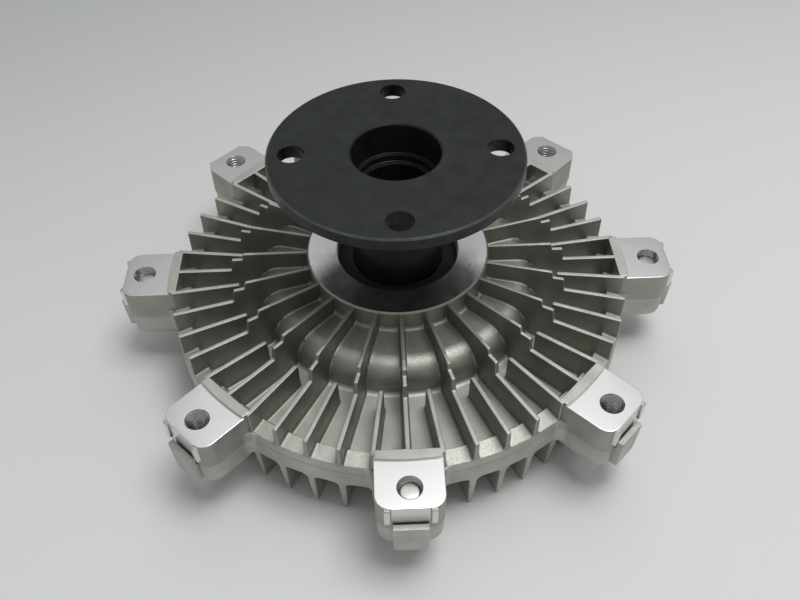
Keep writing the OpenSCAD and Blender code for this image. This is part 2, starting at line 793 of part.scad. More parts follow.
// The domed head of a cover screw, a slice of a ball with a six-sided socket
module screw_head() {
    edge = screw_head_d / 2;
    crown = screw_crown_d / 2;
    centre = (edge * edge - crown * crown - screw_head_h * screw_head_h) / (2 * screw_head_h);
    ball = sqrt(edge * edge + centre * centre);
    crown_z = lug_z - screw_head_h;
    difference() {
        rotate_extrude() intersection() {
            translate([0, lug_z + centre]) circle(ball);
            section(0, crown_z, screw_head_d, lug_z);
        }
        translate([0, 0, crown_z - eps])
            cylinder(d = screw_socket / cos(30), h = screw_socket_h + eps, $fn = 6);
    }
}

// The screws that clamp the cover to every second lug from the front
module cover_screws() {
    core = thread_mean / 2 - thread_clear;
    tip = pad_z - screw_sink;
    color(zinc) at_lugs(0, 2) translate([lug_r, 0, 0]) {
        screw_head();
        translate([0, 0, lug_z - eps]) cylinder(d = screw_d, h = cover_lug_h + eps);
        translate([0, 0, joint_z - eps]) cylinder(r = core, h = tip - joint_z + eps - steel_chamfer);
        translate([0, 0, tip - steel_chamfer])
            cylinder(r1 = core, r2 = core - steel_chamfer, h = steel_chamfer);
    }
}

// One ring of the ball bearing, with its ball groove
module bearing_ring(r1, r2) {
    middle = bearing_z + bearing_w / 2;
    rotate_extrude() difference() {
        section(r1, bearing_z, r2, bearing_top);
        translate([ball_path, middle]) circle(ball_r + race_gap);
    }
}

module bearing_outer_ring() {
    color(bright_steel) bearing_ring(ball_path + shoulder, bearing_r);
}

module bearing_inner_ring() {
    color(bright_steel) bearing_ring(bearing_bore / 2, ball_path - shoulder);
}

// Copies children to every ball's place
module at_balls() {
    for (i = [0 : balls - 1]) rotate(i * 360 / balls)
        translate([ball_path, 0, bearing_z + bearing_w / 2]) children();
}

module bearing_balls() {
    color(bright_steel) at_balls() sphere(ball_r);
}

// The cage, a ring with a round pocket for each ball
module bearing_cage() {
    height = ball_d + 2 * (race_gap + cage_side);
    half = shoulder / 2;
    color(brass) difference() {
        rotate_extrude() translate([ball_path - half, bearing_z + (bearing_w - height) / 2])
            square([2 * half, height]);
        at_balls() sphere(ball_r + race_gap);
    }
}

// A rubber seal between the bearing's rings, held in the outer one
module bearing_seal(z) {
    color(dark_rubber) rotate_extrude()
        section(ball_path - shoulder + labyrinth_gap, z, ball_path + shoulder, z + seal_t);
}

module bearing_seal_rear() {
    bearing_seal(bearing_top - seal_inset - seal_t);
}

module bearing_seal_front() {
    bearing_seal(bearing_z + seal_inset);
}

// The open ring that keeps the bearing in the housing, with eyes for pliers at its ends
module bearing_retaining_ring() {
    outer = bearing_r + clip_groove - clip_fit;
    inner = outer - clip_w;
    eye = clip_eye_d / 2;
    wedge = 2 * outer * tan(clip_opening / 2);
    eye_turn = clip_opening / 2 + atan(eye / inner);
    color(sheet_steel) translate([0, 0, bearing_z - clip_t]) linear_extrude(height = clip_t) {
        difference() {
            circle(outer);
            circle(inner);
            polygon([[0, 0], [2 * outer, -wedge], [2 * outer, wedge]]);
        }
        for (side = [-1, 1]) rotate(side * eye_turn) translate([inner - eye / 2, 0]) difference() {
            circle(eye);
            circle(eye / 2);
        }
    }
}

// The sheet that parts the reservoir from the working chamber, with its inlet holes
module partition_plate() {
    color(sheet_steel) difference() {
        translate([0, 0, seat_z]) cylinder(r = plate_r, h = plate_t);
        for (i = [0, 1]) rotate(i * 180) translate([inlet_r, 0, seat_z - eps])
            cylinder(d = inlet_d, h = plate_t + 2 * eps);
        at_rivets() translate([0, 0, seat_z - eps])
            cylinder(d = rivet_d + 2 * rivet_clear, h = plate_t + 2 * eps);
    }
}

module partition_rivets() {
    color(bright_steel) at_rivets() {
        translate([0, 0, seat_z - rivet_depth]) cylinder(d = rivet_d, h = rivet_depth + plate_t + eps / 2);
        translate([0, 0, plate_top]) cylinder(d = rivet_head_d, h = rivet_head_h);
    }
}

// The block that scrapes the fluid off the rotor, back to the reservoir
module pump_wiper() {
    color(brass) rotate(180 / rivets)
        translate([plate_r - wiper_w - wiper_edge, -wiper_l / 2, plate_top])
            cube([wiper_w, wiper_l, wiper_h]);
}

// The two-ended arm that covers the inlet holes
module valve_arm() {
    tip = inlet_r + inlet_d / 2 + arm_cover;
    color(sheet_steel) translate([0, 0, arm_z]) linear_extrude(height = arm_t) difference() {
        union() {
            circle(d = valve_boss_d);
            translate([-tip + arm_w / 2, -arm_w / 2]) square([2 * tip - arm_w, arm_w]);
            for (side = [-1, 1]) translate([side * (tip - arm_w / 2), 0]) circle(d = arm_w);
        }
        circle(d = valve_tenon_d);
    }
}

// The valve's shaft, with grooves for its seal and clip and a slot for the coil's inner end
module valve_shaft() {
    slot = strip_t + 2 * coil_fit;
    seal_space = valve_seal_d + valve_seal_play;
    color(bright_steel) difference() {
        union() {
            translate([0, 0, strip_z]) cylinder(r = valve_r, h = arm_z - strip_z);
            translate([0, 0, arm_z - eps]) cylinder(d = valve_tenon_d, h = arm_t + eps);
        }
        rotate_extrude()
            section(valve_groove_d / 2, valve_clip_z, valve_r + eps, valve_clip_z + valve_clip_t);
        rotate_extrude()
            section(valve_r - valve_seal_d, reservoir_z - seal_space, valve_r + eps, reservoir_z);
        translate([-valve_r - eps, -slot / 2, strip_z - eps])
            cube([2 * (valve_r + eps), slot, strip_w + coil_fit + eps]);
    }
}

module valve_shaft_seal() {
    color(dark_rubber) rotate_extrude()
        translate([valve_r - valve_seal_d / 2, reservoir_z - (valve_seal_d + valve_seal_play) / 2])
            circle(d = valve_seal_d - ring_fit);
}

// The open clip that keeps the valve shaft in the cover
module valve_shaft_clip() {
    inner = valve_groove_d / 2;
    color(sheet_steel) translate([0, 0, valve_clip_z]) linear_extrude(height = valve_clip_t) difference() {
        circle(inner + valve_clip_w);
        circle(inner);
        translate([0, -valve_clip_mouth / 2]) square([inner + valve_clip_w + eps, valve_clip_mouth]);
    }
}

// The flat spiral of bimetal strip, made of half turns about two centres half a pitch apart
module bimetal_coil() {
    inner = valve_r - 2 * coil_fit;
    color(bimetal) translate([0, 0, strip_z]) {
        translate([-inner, -strip_t / 2, 0]) cube([inner + coil_r + strip_t / 2, strip_t, strip_w]);
        for (i = [0 : 2 * coil_turns - 1])
            translate([i % 2 * coil_pitch / 2, 0, 0]) rotate(i % 2 * 180) rotate_extrude(angle = 180)
                translate([coil_r + i * coil_pitch / 2 - strip_t / 2, 0]) square([strip_t, strip_w]);
        translate([coil_end - strip_t / 2, -eps / 10, 0]) cube([strip_t, coil_tail, strip_w]);
    }
}

hub_shaft();
rotor_disc();
rear_housing();
front_cover();
cover_seal_ring();
cover_screws();
bearing_outer_ring();
bearing_inner_ring();
bearing_balls();
bearing_cage();
bearing_seal_rear();
bearing_seal_front();
bearing_retaining_ring();
partition_plate();
partition_rivets();
pump_wiper();
valve_arm();
valve_shaft();
valve_shaft_seal();
valve_shaft_clip();
bimetal_coil();
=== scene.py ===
# %% [markdown]
# # A viscous fan clutch, dressed for its portrait
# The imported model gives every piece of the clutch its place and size. This lesson puts a finish on
# each piece, and rebuilds the pieces that show as smooth surfaces worked out with arrays.

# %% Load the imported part
import math

import bmesh
import bpy
import numpy as np
from mathutils import Matrix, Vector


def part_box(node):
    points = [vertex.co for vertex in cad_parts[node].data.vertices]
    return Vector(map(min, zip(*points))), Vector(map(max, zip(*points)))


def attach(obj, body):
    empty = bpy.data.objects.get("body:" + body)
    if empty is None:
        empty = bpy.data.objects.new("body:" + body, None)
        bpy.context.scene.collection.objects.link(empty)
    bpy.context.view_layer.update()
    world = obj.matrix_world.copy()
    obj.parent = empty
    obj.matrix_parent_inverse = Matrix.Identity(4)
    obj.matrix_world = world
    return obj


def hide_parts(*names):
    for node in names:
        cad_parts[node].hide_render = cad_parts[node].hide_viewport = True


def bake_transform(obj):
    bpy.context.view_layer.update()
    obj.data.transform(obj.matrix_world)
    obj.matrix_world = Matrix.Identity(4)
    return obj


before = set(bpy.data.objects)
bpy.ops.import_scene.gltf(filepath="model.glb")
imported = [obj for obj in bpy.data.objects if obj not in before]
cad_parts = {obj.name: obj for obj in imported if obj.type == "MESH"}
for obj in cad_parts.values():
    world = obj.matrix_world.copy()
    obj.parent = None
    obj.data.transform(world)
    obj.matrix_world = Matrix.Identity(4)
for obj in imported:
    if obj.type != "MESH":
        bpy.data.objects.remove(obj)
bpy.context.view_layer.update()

MM = 0.001
scene = bpy.context.scene

# %% [markdown]
# ## The camera
# The picture was taken from in front and above, so that the flange covers the far side of the fins.
# The camera's place and its three directions are given in the part's own frame. A camera looks along
# its own -Z, with +Y up, so two of the directions change sign in its matrix.

# %% Camera
CAMERA_AT = np.array([-6.1, -229.41, 264.86])
CAMERA_RIGHT = np.array([0.9992, -0.0398, -0.0098])
CAMERA_DOWN = np.array([-0.0358, -0.7307, -0.6818])
CAMERA_AHEAD = np.array([0.02, 0.6816, -0.7315])
SENSOR = 36.0
FOCAL_SHARE = 845.43 / 800  # the focal length as a share of the picture's width

camera_data = bpy.data.cameras.new("camera")
camera_data.sensor_width = SENSOR
camera_data.lens = FOCAL_SHARE * SENSOR
camera = bpy.data.objects.new("camera", camera_data)
scene.collection.objects.link(camera)
turn = np.eye(4)
turn[:3, :3] = np.column_stack([CAMERA_RIGHT, -CAMERA_DOWN, -CAMERA_AHEAD])
turn[:3, 3] = CAMERA_AT * MM
camera.matrix_world = Matrix(turn.tolist())
scene.camera = camera
scene.view_settings.view_transform = "Standard"
print("lens in millimetres:", round(camera_data.lens, 2))

# %% [markdown]
# ## Shapes as arrays
# A shape here is a pair: an array of points in millimetres, and a list of face arrays, each with one
# row of point numbers for every face. Closed shapes can be copied round the axis and joined freely,
# because their points are only rows of an array.


# %% Grids and copies
def grid_faces(rows, cols, wrap_rows=False, wrap_cols=False):
    """Quads of a grid: point (i, j) joins (i, j + 1), (i + 1, j + 1) and (i + 1, j)."""
    i = np.arange(rows if wrap_rows else rows - 1)[:, None]
    j = np.arange(cols if wrap_cols else cols - 1)[None, :]
    below, right = (i + 1) % rows, (j + 1) % cols
    corners = [i * cols + j, i * cols + right, below * cols + right, below * cols + j]
    return np.stack(np.broadcast_arrays(*corners), -1).reshape(-1, 4)


def volume(shape):
    """The sum, over the triangles of all faces, of a . (b x c) / 6 for corners a, b and c."""
    points, faces = shape
    total = 0.0
    for face in faces:
        corner = points[face]
        fan = np.cross(corner[:, 1:-1], corner[:, 2:])
        total += (fan * corner[:, :1]).sum() / 6
    return total


def outward(shape):
    """The same shape with its faces turned round if they look inwards."""
    points, faces = shape
    if volume(shape) > 0:
        return shape
    return points, [face[:, ::-1] for face in faces]


def joined(*shapes):
    """Several shapes as one: the later points are numbered on from the earlier ones."""
    points, faces, start = [], [], 0
    for shape_points, shape_faces in shapes:
        points.append(shape_points)
        faces += [face + start for face in shape_faces]
        start += len(shape_points)
    return np.concatenate(points), faces


def around(shape, degrees):
    """Copies of a shape turned about Z: x' = x cos a - y sin a and y' = x sin a + y cos a."""
    points, faces = shape
    a = np.radians(np.asarray(degrees, float))[:, None]
    x, y, z = points.T
    new_x = x * np.cos(a) - y * np.sin(a)
    new_y = x * np.sin(a) + y * np.cos(a)
    copies = np.stack([new_x, new_y, z + 0 * a], -1).reshape(-1, 3)
    step = (np.arange(len(a)) * len(points))[:, None, None]
    return copies, [(face + step).reshape(-1, face.shape[1]) for face in faces]


def mirrored(shape):
    """A shape reflected in the plane y = 0."""
    points, faces = shape
    return outward((points * [1, -1, 1], faces))


print("a grid of 3 by 4 points has", len(grid_faces(3, 4)), "faces")


# %% Outlines with round corners
def rounded(corners, radii, steps=4, closed=True):
    """An outline whose corners give way to arcs that touch both sides. The arc's centre lies on the
    corner's bisector, radius / sin(half the angle) away. An open outline keeps its two end points."""
    point = np.array(corners, float)
    radius = np.array(np.broadcast_to(np.asarray(radii, float), len(point)))[:, None]
    back = np.roll(point, 1, 0) - point
    ahead = np.roll(point, -1, 0) - point
    middle = slice(None) if closed else slice(1, -1)
    corner, radius, back, ahead = point[middle], radius[middle], back[middle], ahead[middle]
    back = back / np.linalg.norm(back, axis=1, keepdims=True)
    ahead = ahead / np.linalg.norm(ahead, axis=1, keepdims=True)
    half = np.arccos(np.clip((back * ahead).sum(1, keepdims=True), -1, 1)) / 2
    bisector = back + ahead
    bisector = bisector / np.linalg.norm(bisector, axis=1, keepdims=True)
    centre = corner + bisector * radius / np.sin(half)
    start = corner + back * radius / np.tan(half) - centre
    side = np.sign(back[:, 1:] * ahead[:, :1] - back[:, :1] * ahead[:, 1:])
    angle = side * (np.pi - 2 * half) * np.linspace(0, 1, steps)
    x = centre[:, :1] + start[:, :1] * np.cos(angle) - start[:, 1:] * np.sin(angle)
    y = centre[:, 1:] + start[:, :1] * np.sin(angle) + start[:, 1:] * np.cos(angle)
    arcs = np.stack([x, y], -1).reshape(-1, 2)
    return arcs if closed else np.concatenate([point[:1], arcs, point[-1:]])


def thinned(outline, spacing):
    """An outline without the points that lie closer than spacing to the one before them."""
    gap = np.linalg.norm(outline - np.roll(outline, 1, 0), axis=1)
    return outline[gap > spacing]


def drawn_in(outline, inset):
    """A closed outline moved to its left by inset: each point goes along the sum of its two edges'
    normals, divided by one plus their product, which keeps every edge parallel to itself."""
    edge = np.roll(outline, -1, 0) - outline
    edge = edge / np.linalg.norm(edge, axis=1, keepdims=True)
    normal = np.stack([-edge[:, 1], edge[:, 0]], -1)
    before = np.roll(normal, 1, 0)
    return outline + inset * (normal + before) / (1 + (normal * before).sum(1, keepdims=True))


test_square = rounded([[4, 0], [6, 0], [6, 2], [4, 2]], 0.3)
print("a test square with round corners has", len(test_square), "points")


# %% Turned solids and outlines carried along an axis
def turned(section, count=192):
    """A ring turned about Z from a closed half section of radius and height."""
    a = np.arange(count)[:, None] * 2 * np.pi / count
    r, z = section.T
    points = np.stack([r * np.cos(a), r * np.sin(a), z + 0 * a], -1)
    return outward((points.reshape(-1, 3), [grid_faces(count, len(section), True, True)]))


def turned_solid(radius, height, count):
    """A solid turned about Z whose section starts and ends on the axis. radius and height hold one row
    for each step along the section, and radius may differ with the angle, one column for each."""
    a = np.arange(count) * 2 * np.pi / count
    radius = np.broadcast_to(radius, (len(height) - 2, count))
    level = np.broadcast_to(height[1:-1, None], radius.shape)
    rings = np.stack([radius * np.cos(a), radius * np.sin(a), level], -1).reshape(-1, 3)
    points = np.concatenate([rings, [[0, 0, height[0]], [0, 0, height[-1]]]])
    first = np.arange(count)
    after = (first + 1) % count
    last = first + (len(height) - 3) * count
    start_fan = np.stack([np.full(count, len(rings)), after, first], -1)
    end_fan = np.stack([np.full(count, len(rings) + 1), last, last[0] + after], -1)
    return outward((points, [grid_faces(len(height) - 2, count, False, True), start_fan, end_fan]))


def capped(rings):
    """A closed shape from rings of points, one row of points a ring, with a flat face at each end."""
    stations, count = rings.shape[:2]
    ends = np.stack([np.arange(count)[::-1], np.arange(count) + count * (stations - 1)])
    return outward((rings.reshape(-1, 3), [grid_faces(stations, count, False, True), ends]))


def prism(outline, levels, insets):
    """A closed outline carried along a third axis: ring k is the outline drawn in by insets[k] at
    levels[k], and flat caps close both ends. Its points are (outline x, outline y, level)."""
    rings = [
        np.column_stack([drawn_in(outline, inset), np.full(len(outline), level)])
        for level, inset in zip(levels, insets)
    ]
    return capped(np.stack(rings))


def standing(shape, order):
    """A shape with its axes taken in another order, so that a prism can lie along X or Y."""
    points, faces = shape
    return outward((points[:, order], faces))


print("the square turned into a ring has", len(turned(test_square)[0]), "points")

# %% [markdown]
# ## From shapes to objects
# The modifier that joins closed shapes keeps only their outer skin, so a casting can be put together
# from a turned shell, fins and lugs that overlap. Faces are shaded smooth up to a sharp angle, and
# weighted normals keep the flats flat beside their small round edges.

# %% Objects, unions and shading
SHARP = math.radians(38)


def new_object(name, shape):
    """A mesh object at the origin from a shape in millimetres."""
    points, faces = shape
    mesh = bpy.data.meshes.new(name)
    mesh.from_pydata((points * MM).tolist(), [], [row for face in faces for row in face.tolist()])
    obj = bpy.data.objects.new(name, mesh)
    scene.collection.objects.link(obj)
    return obj


def fused(name, shape, added=(), cut=()):
    """One object from a shape, with other shapes joined to it or cut out of it. A point that then has
    only two edges divides a straight edge for nothing, and is taken out."""
    obj = new_object(name, shape)
    tools = [(tool, "UNION") for tool in added] + [(tool, "DIFFERENCE") for tool in cut]
    helpers = []
    for tool, operation in tools:
        helper = new_object("helper", tool)
        modifier = obj.modifiers.new("join", "BOOLEAN")
        modifier.object = helper
        modifier.operation = operation
        modifier.solver = "MANIFOLD"
        helpers.append(helper)
    bpy.context.view_layer.update()
    finished = obj.evaluated_get(bpy.context.evaluated_depsgraph_get())
    mesh = bpy.data.meshes.new_from_object(finished)
    obj.modifiers.clear()
    obj.data = mesh
    mesh.name = name
    skin = bmesh.new()
    skin.from_mesh(mesh)
    needless = [point for point in skin.verts if len(point.link_edges) == 2]
    bmesh.ops.dissolve_verts(skin, verts=needless)
    skin.to_mesh(mesh)
    skin.free()
    for helper in helpers:
        bpy.data.objects.remove(helper)
    return obj


def dressed(obj, body, nodes, materials, pick=None):
    """Shades an object, gives it its materials, and makes it stand for its CAD nodes. pick is a
    function of the faces' centres in millimetres and their normals that gives the material's number.
    An object with no body is left without a parent."""
    mesh = obj.data
    mesh.materials.clear()
    for material in materials:
        mesh.materials.append(material)
    count = len(mesh.polygons)
    mesh.polygons.foreach_set("use_smooth", np.ones(count, bool))
    mesh.set_sharp_from_angle(angle=SHARP)
    if pick is not None:
        centre, normal = np.empty(3 * count), np.empty(3 * count)
        mesh.polygons.foreach_get("center", centre)
        mesh.polygons.foreach_get("normal", normal)
        number = pick(centre.reshape(-1, 3) / MM, normal.reshape(-1, 3))
        mesh.polygons.foreach_set("material_index", number.astype(np.int32))
    weighted = obj.modifiers.new("flat faces", "WEIGHTED_NORMAL")
    weighted.keep_sharp = True
    if body is not None:
        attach(obj, body)
    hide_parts(*nodes)
    mesh.calc_loop_triangles()
    print(obj.name, "triangles:", len(mesh.loop_triangles))
    return obj


# %% [markdown]
# ## Finishes
# All of the clutch is metal but its seals. A metal shows what it mirrors, so what tells a casting from
# a turned face is how its small bumps break the mirror up. Each finish is a Principled shader with
# bumps and roughness from noise, read in the part's own coordinates so that the grain keeps its size.
# A picture of a casting could be laid on instead, but it would show its seams and fit one size only.


# %% Shader helpers
def shader_of(name, colour, metallic, roughness):
    """A new material and its Principled shader, with plain numbers on the shader's own sockets."""
    material = bpy.data.materials.new(name)
    material.use_nodes = True
    shader = material.node_tree.nodes["Principled BSDF"]
    shader.inputs["Base Color"].default_value = (*colour, 1)
    shader.inputs["Metallic"].default_value = metallic
    shader.inputs["Roughness"].default_value = roughness
    material.diffuse_color = (*colour, 1)
    return material, shader


def add_node(material, kind, **settings):
    """A new node in a material, with its properties set by name."""
    node = material.node_tree.nodes.new(kind)
    for key, value in settings.items():
        setattr(node, key, value)
    return node


def noise(material, size, detail):
    """Noise with features of about that size in millimetres, in the part's own coordinates."""
    place = add_node(material, "ShaderNodeTexCoord")
    texture = add_node(material, "ShaderNodeTexNoise")
    texture.inputs["Scale"].default_value = 1 / (size * MM)
    texture.inputs["Detail"].default_value = detail
    material.node_tree.links.new(place.outputs["Object"], texture.inputs["Vector"])
    return texture.outputs["Fac"]


def ring_noise(material, pitch):
    """Noise of the distance from the part's axis alone, as a lathe tool leaves it."""
    place = add_node(material, "ShaderNodeTexCoord")
    flat = add_node(material, "ShaderNodeVectorMath", operation="MULTIPLY")
    flat.inputs[1].default_value = (1, 1, 0)
    length = add_node(material, "ShaderNodeVectorMath", operation="LENGTH")
    texture = add_node(material, "ShaderNodeTexNoise", noise_dimensions="1D")
    texture.inputs["Scale"].default_value = 1 / (pitch * MM)
    texture.inputs["Detail"].default_value = 2.0
    links = material.node_tree.links
    links.new(place.outputs["Object"], flat.inputs[0])
    links.new(flat.outputs["Vector"], length.inputs[0])
    links.new(length.outputs["Value"], texture.inputs["W"])
    return texture.outputs["Fac"]


def vary_roughness(material, shader, value, low, high):
    """The roughness goes from low to high as a noise value crosses its usual middle range."""
    node = add_node(material, "ShaderNodeMapRange")
    node.inputs["From Min"].default_value = 0.3
    node.inputs["From Max"].default_value = 0.7
    node.inputs["To Min"].default_value = low
    node.inputs["To Max"].default_value = high
    material.node_tree.links.new(value, node.inputs["Value"])
    material.node_tree.links.new(node.outputs["Result"], shader.inputs["Roughness"])


def blend_colours(material, shader, value, dark, light):
    """The base colour goes from dark to light as a noise value goes from low to high."""
    ramp = add_node(material, "ShaderNodeValToRGB")
    ramp.color_ramp.elements[0].position = 0.32
    ramp.color_ramp.elements[0].color = (*dark, 1)
    ramp.color_ramp.elements[1].position = 0.68
    ramp.color_ramp.elements[1].color = (*light, 1)
    material.node_tree.links.new(value, ramp.inputs["Fac"])
    material.node_tree.links.new(ramp.outputs["Color"], shader.inputs["Base Color"])


def bump(material, shader, value, height, strength):
    """Bumps of that height in millimetres, on top of any that the shader already has."""
    node = add_node(material, "ShaderNodeBump")
    node.inputs["Strength"].default_value = strength
    node.inputs["Distance"].default_value = height * MM
    links = material.node_tree.links
    links.new(value, node.inputs["Height"])
    if shader.inputs["Normal"].is_linked:
        links.new(shader.inputs["Normal"].links[0].from_socket, node.inputs["Normal"])
    links.new(node.outputs["Normal"], shader.inputs["Normal"])


# %% Finishes of aluminium
def cast_skin(name, dark, light, low, high):
    """Die-cast aluminium, blasted: a fine sand grain over soft clouds of lighter and darker metal. low
    and high are the ends of its roughness."""
    middle = (np.array(dark) + np.array(light)) / 2
    material, shader = shader_of(name, middle, 1.0, (low + high) / 2)
    blend_colours(material, shader, noise(material, size=9, detail=5), dark, light)
    grain = noise(material, size=0.45, detail=4)
    vary_roughness(material, shader, grain, low, high)
    bump(material, shader, grain, height=0.09, strength=0.7)
    bump(material, shader, noise(material, size=2.4, detail=2), height=0.12, strength=0.35)
    return material


def faced_aluminium():
    """A face cut on the lathe: bright, with rings of slightly finer and coarser polish."""
    material, shader = shader_of("faced aluminium", (0.74, 0.74, 0.73), 1.0, 0.3)
    vary_roughness(material, shader, ring_noise(material, pitch=0.8), 0.285, 0.315)
    return material


def turned_collar():
    """The collar's fine turned finish, in which each ring mark stretches the highlights outwards."""
    material, shader = shader_of("turned collar", (0.66, 0.67, 0.66), 1.0, 0.22)
    vary_roughness(material, shader, noise(material, size=5, detail=3), 0.16, 0.26)
    bump(material, shader, ring_noise(material, pitch=0.14), height=0.03, strength=0.6)
    return material


# %% Finishes of steel, brass and rubber
def black_oxide():
    """Blackened steel: a thin dark skin with a satin gloss, mottled where the bath took unevenly."""
    material, shader = shader_of("black oxide", (0.0095, 0.012, 0.0117), 0.0, 0.34)
    shader.inputs["Specular IOR Level"].default_value = 0.32
    dark, light = (0.0055, 0.0078, 0.0075), (0.0135, 0.0165, 0.016)
    blend_colours(material, shader, noise(material, size=6, detail=6), dark, light)
    vary_roughness(material, shader, noise(material, size=2.2, detail=6), 0.28, 0.46)
    bump(material, shader, ring_noise(material, pitch=0.3), height=0.012, strength=0.5)
    bump(material, shader, noise(material, size=0.6, detail=3), height=0.015, strength=0.4)
    return material


def flange_edge_highlight():
    """The flange's top edge, lighter and more metallic than the black steel: a painted highlight."""
    material, shader = shader_of("flange edge highlight", (0.11, 0.118, 0.118), 0.7, 0.32)
    dark, light = (0.085, 0.092, 0.092), (0.135, 0.144, 0.144)
    blend_colours(material, shader, noise(material, size=5, detail=3), dark, light)
    return material


def plain_metal(name, colour, roughness, grain_size, grain_height):
    """Rolled, ground or plated metal: one colour with a little cloud, and a grain of its own size."""
    material, shader = shader_of(name, colour, 1.0, roughness)
    dark, light = np.array(colour) * 0.86, np.minimum(np.array(colour) * 1.1, 1)
    blend_colours(material, shader, noise(material, 10 * grain_size, detail=4), dark, light)
    grain = noise(material, grain_size, detail=3)
    vary_roughness(material, shader, grain, 0.8 * roughness, 1.2 * roughness)
    bump(material, shader, grain, grain_height, strength=0.5)
    return material


def moulded_rubber():
    """Black nitrile rubber with a dull, slightly grainy skin."""
    material, shader = shader_of("seal rubber", (0.018, 0.018, 0.019), 0.0, 0.62)
    bump(material, shader, noise(material, size=0.3, detail=3), height=0.02, strength=0.6)
    vary_roughness(material, shader, noise(material, size=3, detail=3), 0.55, 0.72)
    return material


# %% The clutch's materials
CASTING = cast_skin("blasted casting", (0.45, 0.446, 0.413), (0.55, 0.543, 0.503), 0.5, 0.66)
# The fin sides and the sheltered casting are the cast skin in darker colours: painted shade for faces that
# lie in shade.
FIN_SIDE_PAINTED_SHADE = cast_skin("fin sides painted shade", (0.26, 0.27, 0.235), (0.32, 0.33, 0.29), 0.44, 0.58)
SHADE_PAINTED_CASTING = cast_skin("casting painted shade", (0.33, 0.34, 0.3), (0.4, 0.41, 0.365), 0.44, 0.58)
FACED = faced_aluminium()
COLLAR = turned_collar()
THREAD = plain_metal("tapped aluminium", (0.5, 0.5, 0.48), 0.26, 0.4, 0.004)
BLACK = black_oxide()
# EDGE_HIGHLIGHT is the flange's top edge with a painted highlight.
EDGE_HIGHLIGHT = flange_edge_highlight()
GROUND = plain_metal("ground steel", (0.72, 0.73, 0.75), 0.18, 0.4, 0.01)
SPRING = plain_metal("spring steel", (0.2, 0.21, 0.24), 0.32, 0.5, 0.01)
SHEET = plain_metal("sheet steel", (0.58, 0.59, 0.6), 0.34, 0.8, 0.02)
ZINC = plain_metal("zinc plated steel", (0.6, 0.6, 0.57), 0.36, 0.5, 0.02)
BRASS = plain_metal("cage brass", (0.72, 0.55, 0.24), 0.3, 0.5, 0.02)
BIMETAL = plain_metal("bimetal strip", (0.62, 0.5, 0.36), 0.36, 0.7, 0.015)
RUBBER = moulded_rubber()
print("materials:", len(bpy.data.materials))

# %% [markdown]
# ## Sizes
# The heights and radii below are in millimetres. What a node's box shows is read from the frame, and
# the rest are the sizes of the drawing, but for the rear fins, the land on the rim and the edges of the
# flange's holes, which are made a little finer here, as they are on the real clutch.


# %% Sizes
def node_box(name):
    """The lowest and highest corner of a CAD node, in millimetres."""
    low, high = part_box(name)
    return np.array(low) / MM, np.array(high) / MM


hub_low, hub_high = node_box("hub_shaft")
housing_low, housing_high = node_box("rear_housing")
cover_low, cover_high = node_box("front_cover")
ring_low, ring_high = node_box("bearing_outer_ring")
coil_low, coil_high = node_box("bimetal_coil")
screw_low, screw_high = node_box("cover_screws")

FACE_Z, COLLAR_Z = housing_low[2], housing_high[2]
JOINT_Z = FACE_Z + 1
FLOOR_Z = JOINT_Z + 2.5
LAND_Z, LAND_TOP = FLOOR_Z + 1.4, FLOOR_Z + 2.8
DOME_Z = FLOOR_Z + 11.3
PAD_Z = JOINT_Z + 12
STRIP_Z = PAD_Z + 1
RIM_Z = JOINT_Z - 7.5
LUG_Z = JOINT_Z - 10.8
BEARING_R = ring_high[0]
BEARING_Z, BEARING_TOP = ring_low[2], ring_high[2]
RIM_R, LAND_R, DOME_R, COLLAR_R, LIP_R = 85.3, 78.9, 53.0, 33.7, 22.4
SPIGOT_R, CHAMBER_R = 78.0, 76.5
LUG_R, LUG_OUT, LUG_HALF, SHOULDER_R, LUG_IN = 96.0, 103.2, 11.0, 86.5, 82.7
LUG_ANGLES = np.arange(8) * 45 - 90
FINS = 24
LONG_ANGLES = np.arange(FINS) * 360 / FINS
SHORT_ANGLES = LONG_ANGLES + 180 / FINS
print("collar at", round(COLLAR_Z, 2), "joint at", round(JOINT_Z, 2))
print("rest plane at", round(cover_low[2], 2))

# %% [markdown]
# ## The rear housing
# The housing is one die casting: a shell with a dome, fins that step down from the collar to the rim,
# and lugs for the fan. The shell is a closed half section turned about the axis. Its casting draft
# leans the dome's wall a little, so that the height of its skin is a function of the radius, and the
# fins can stand on that function with a fillet at their feet.

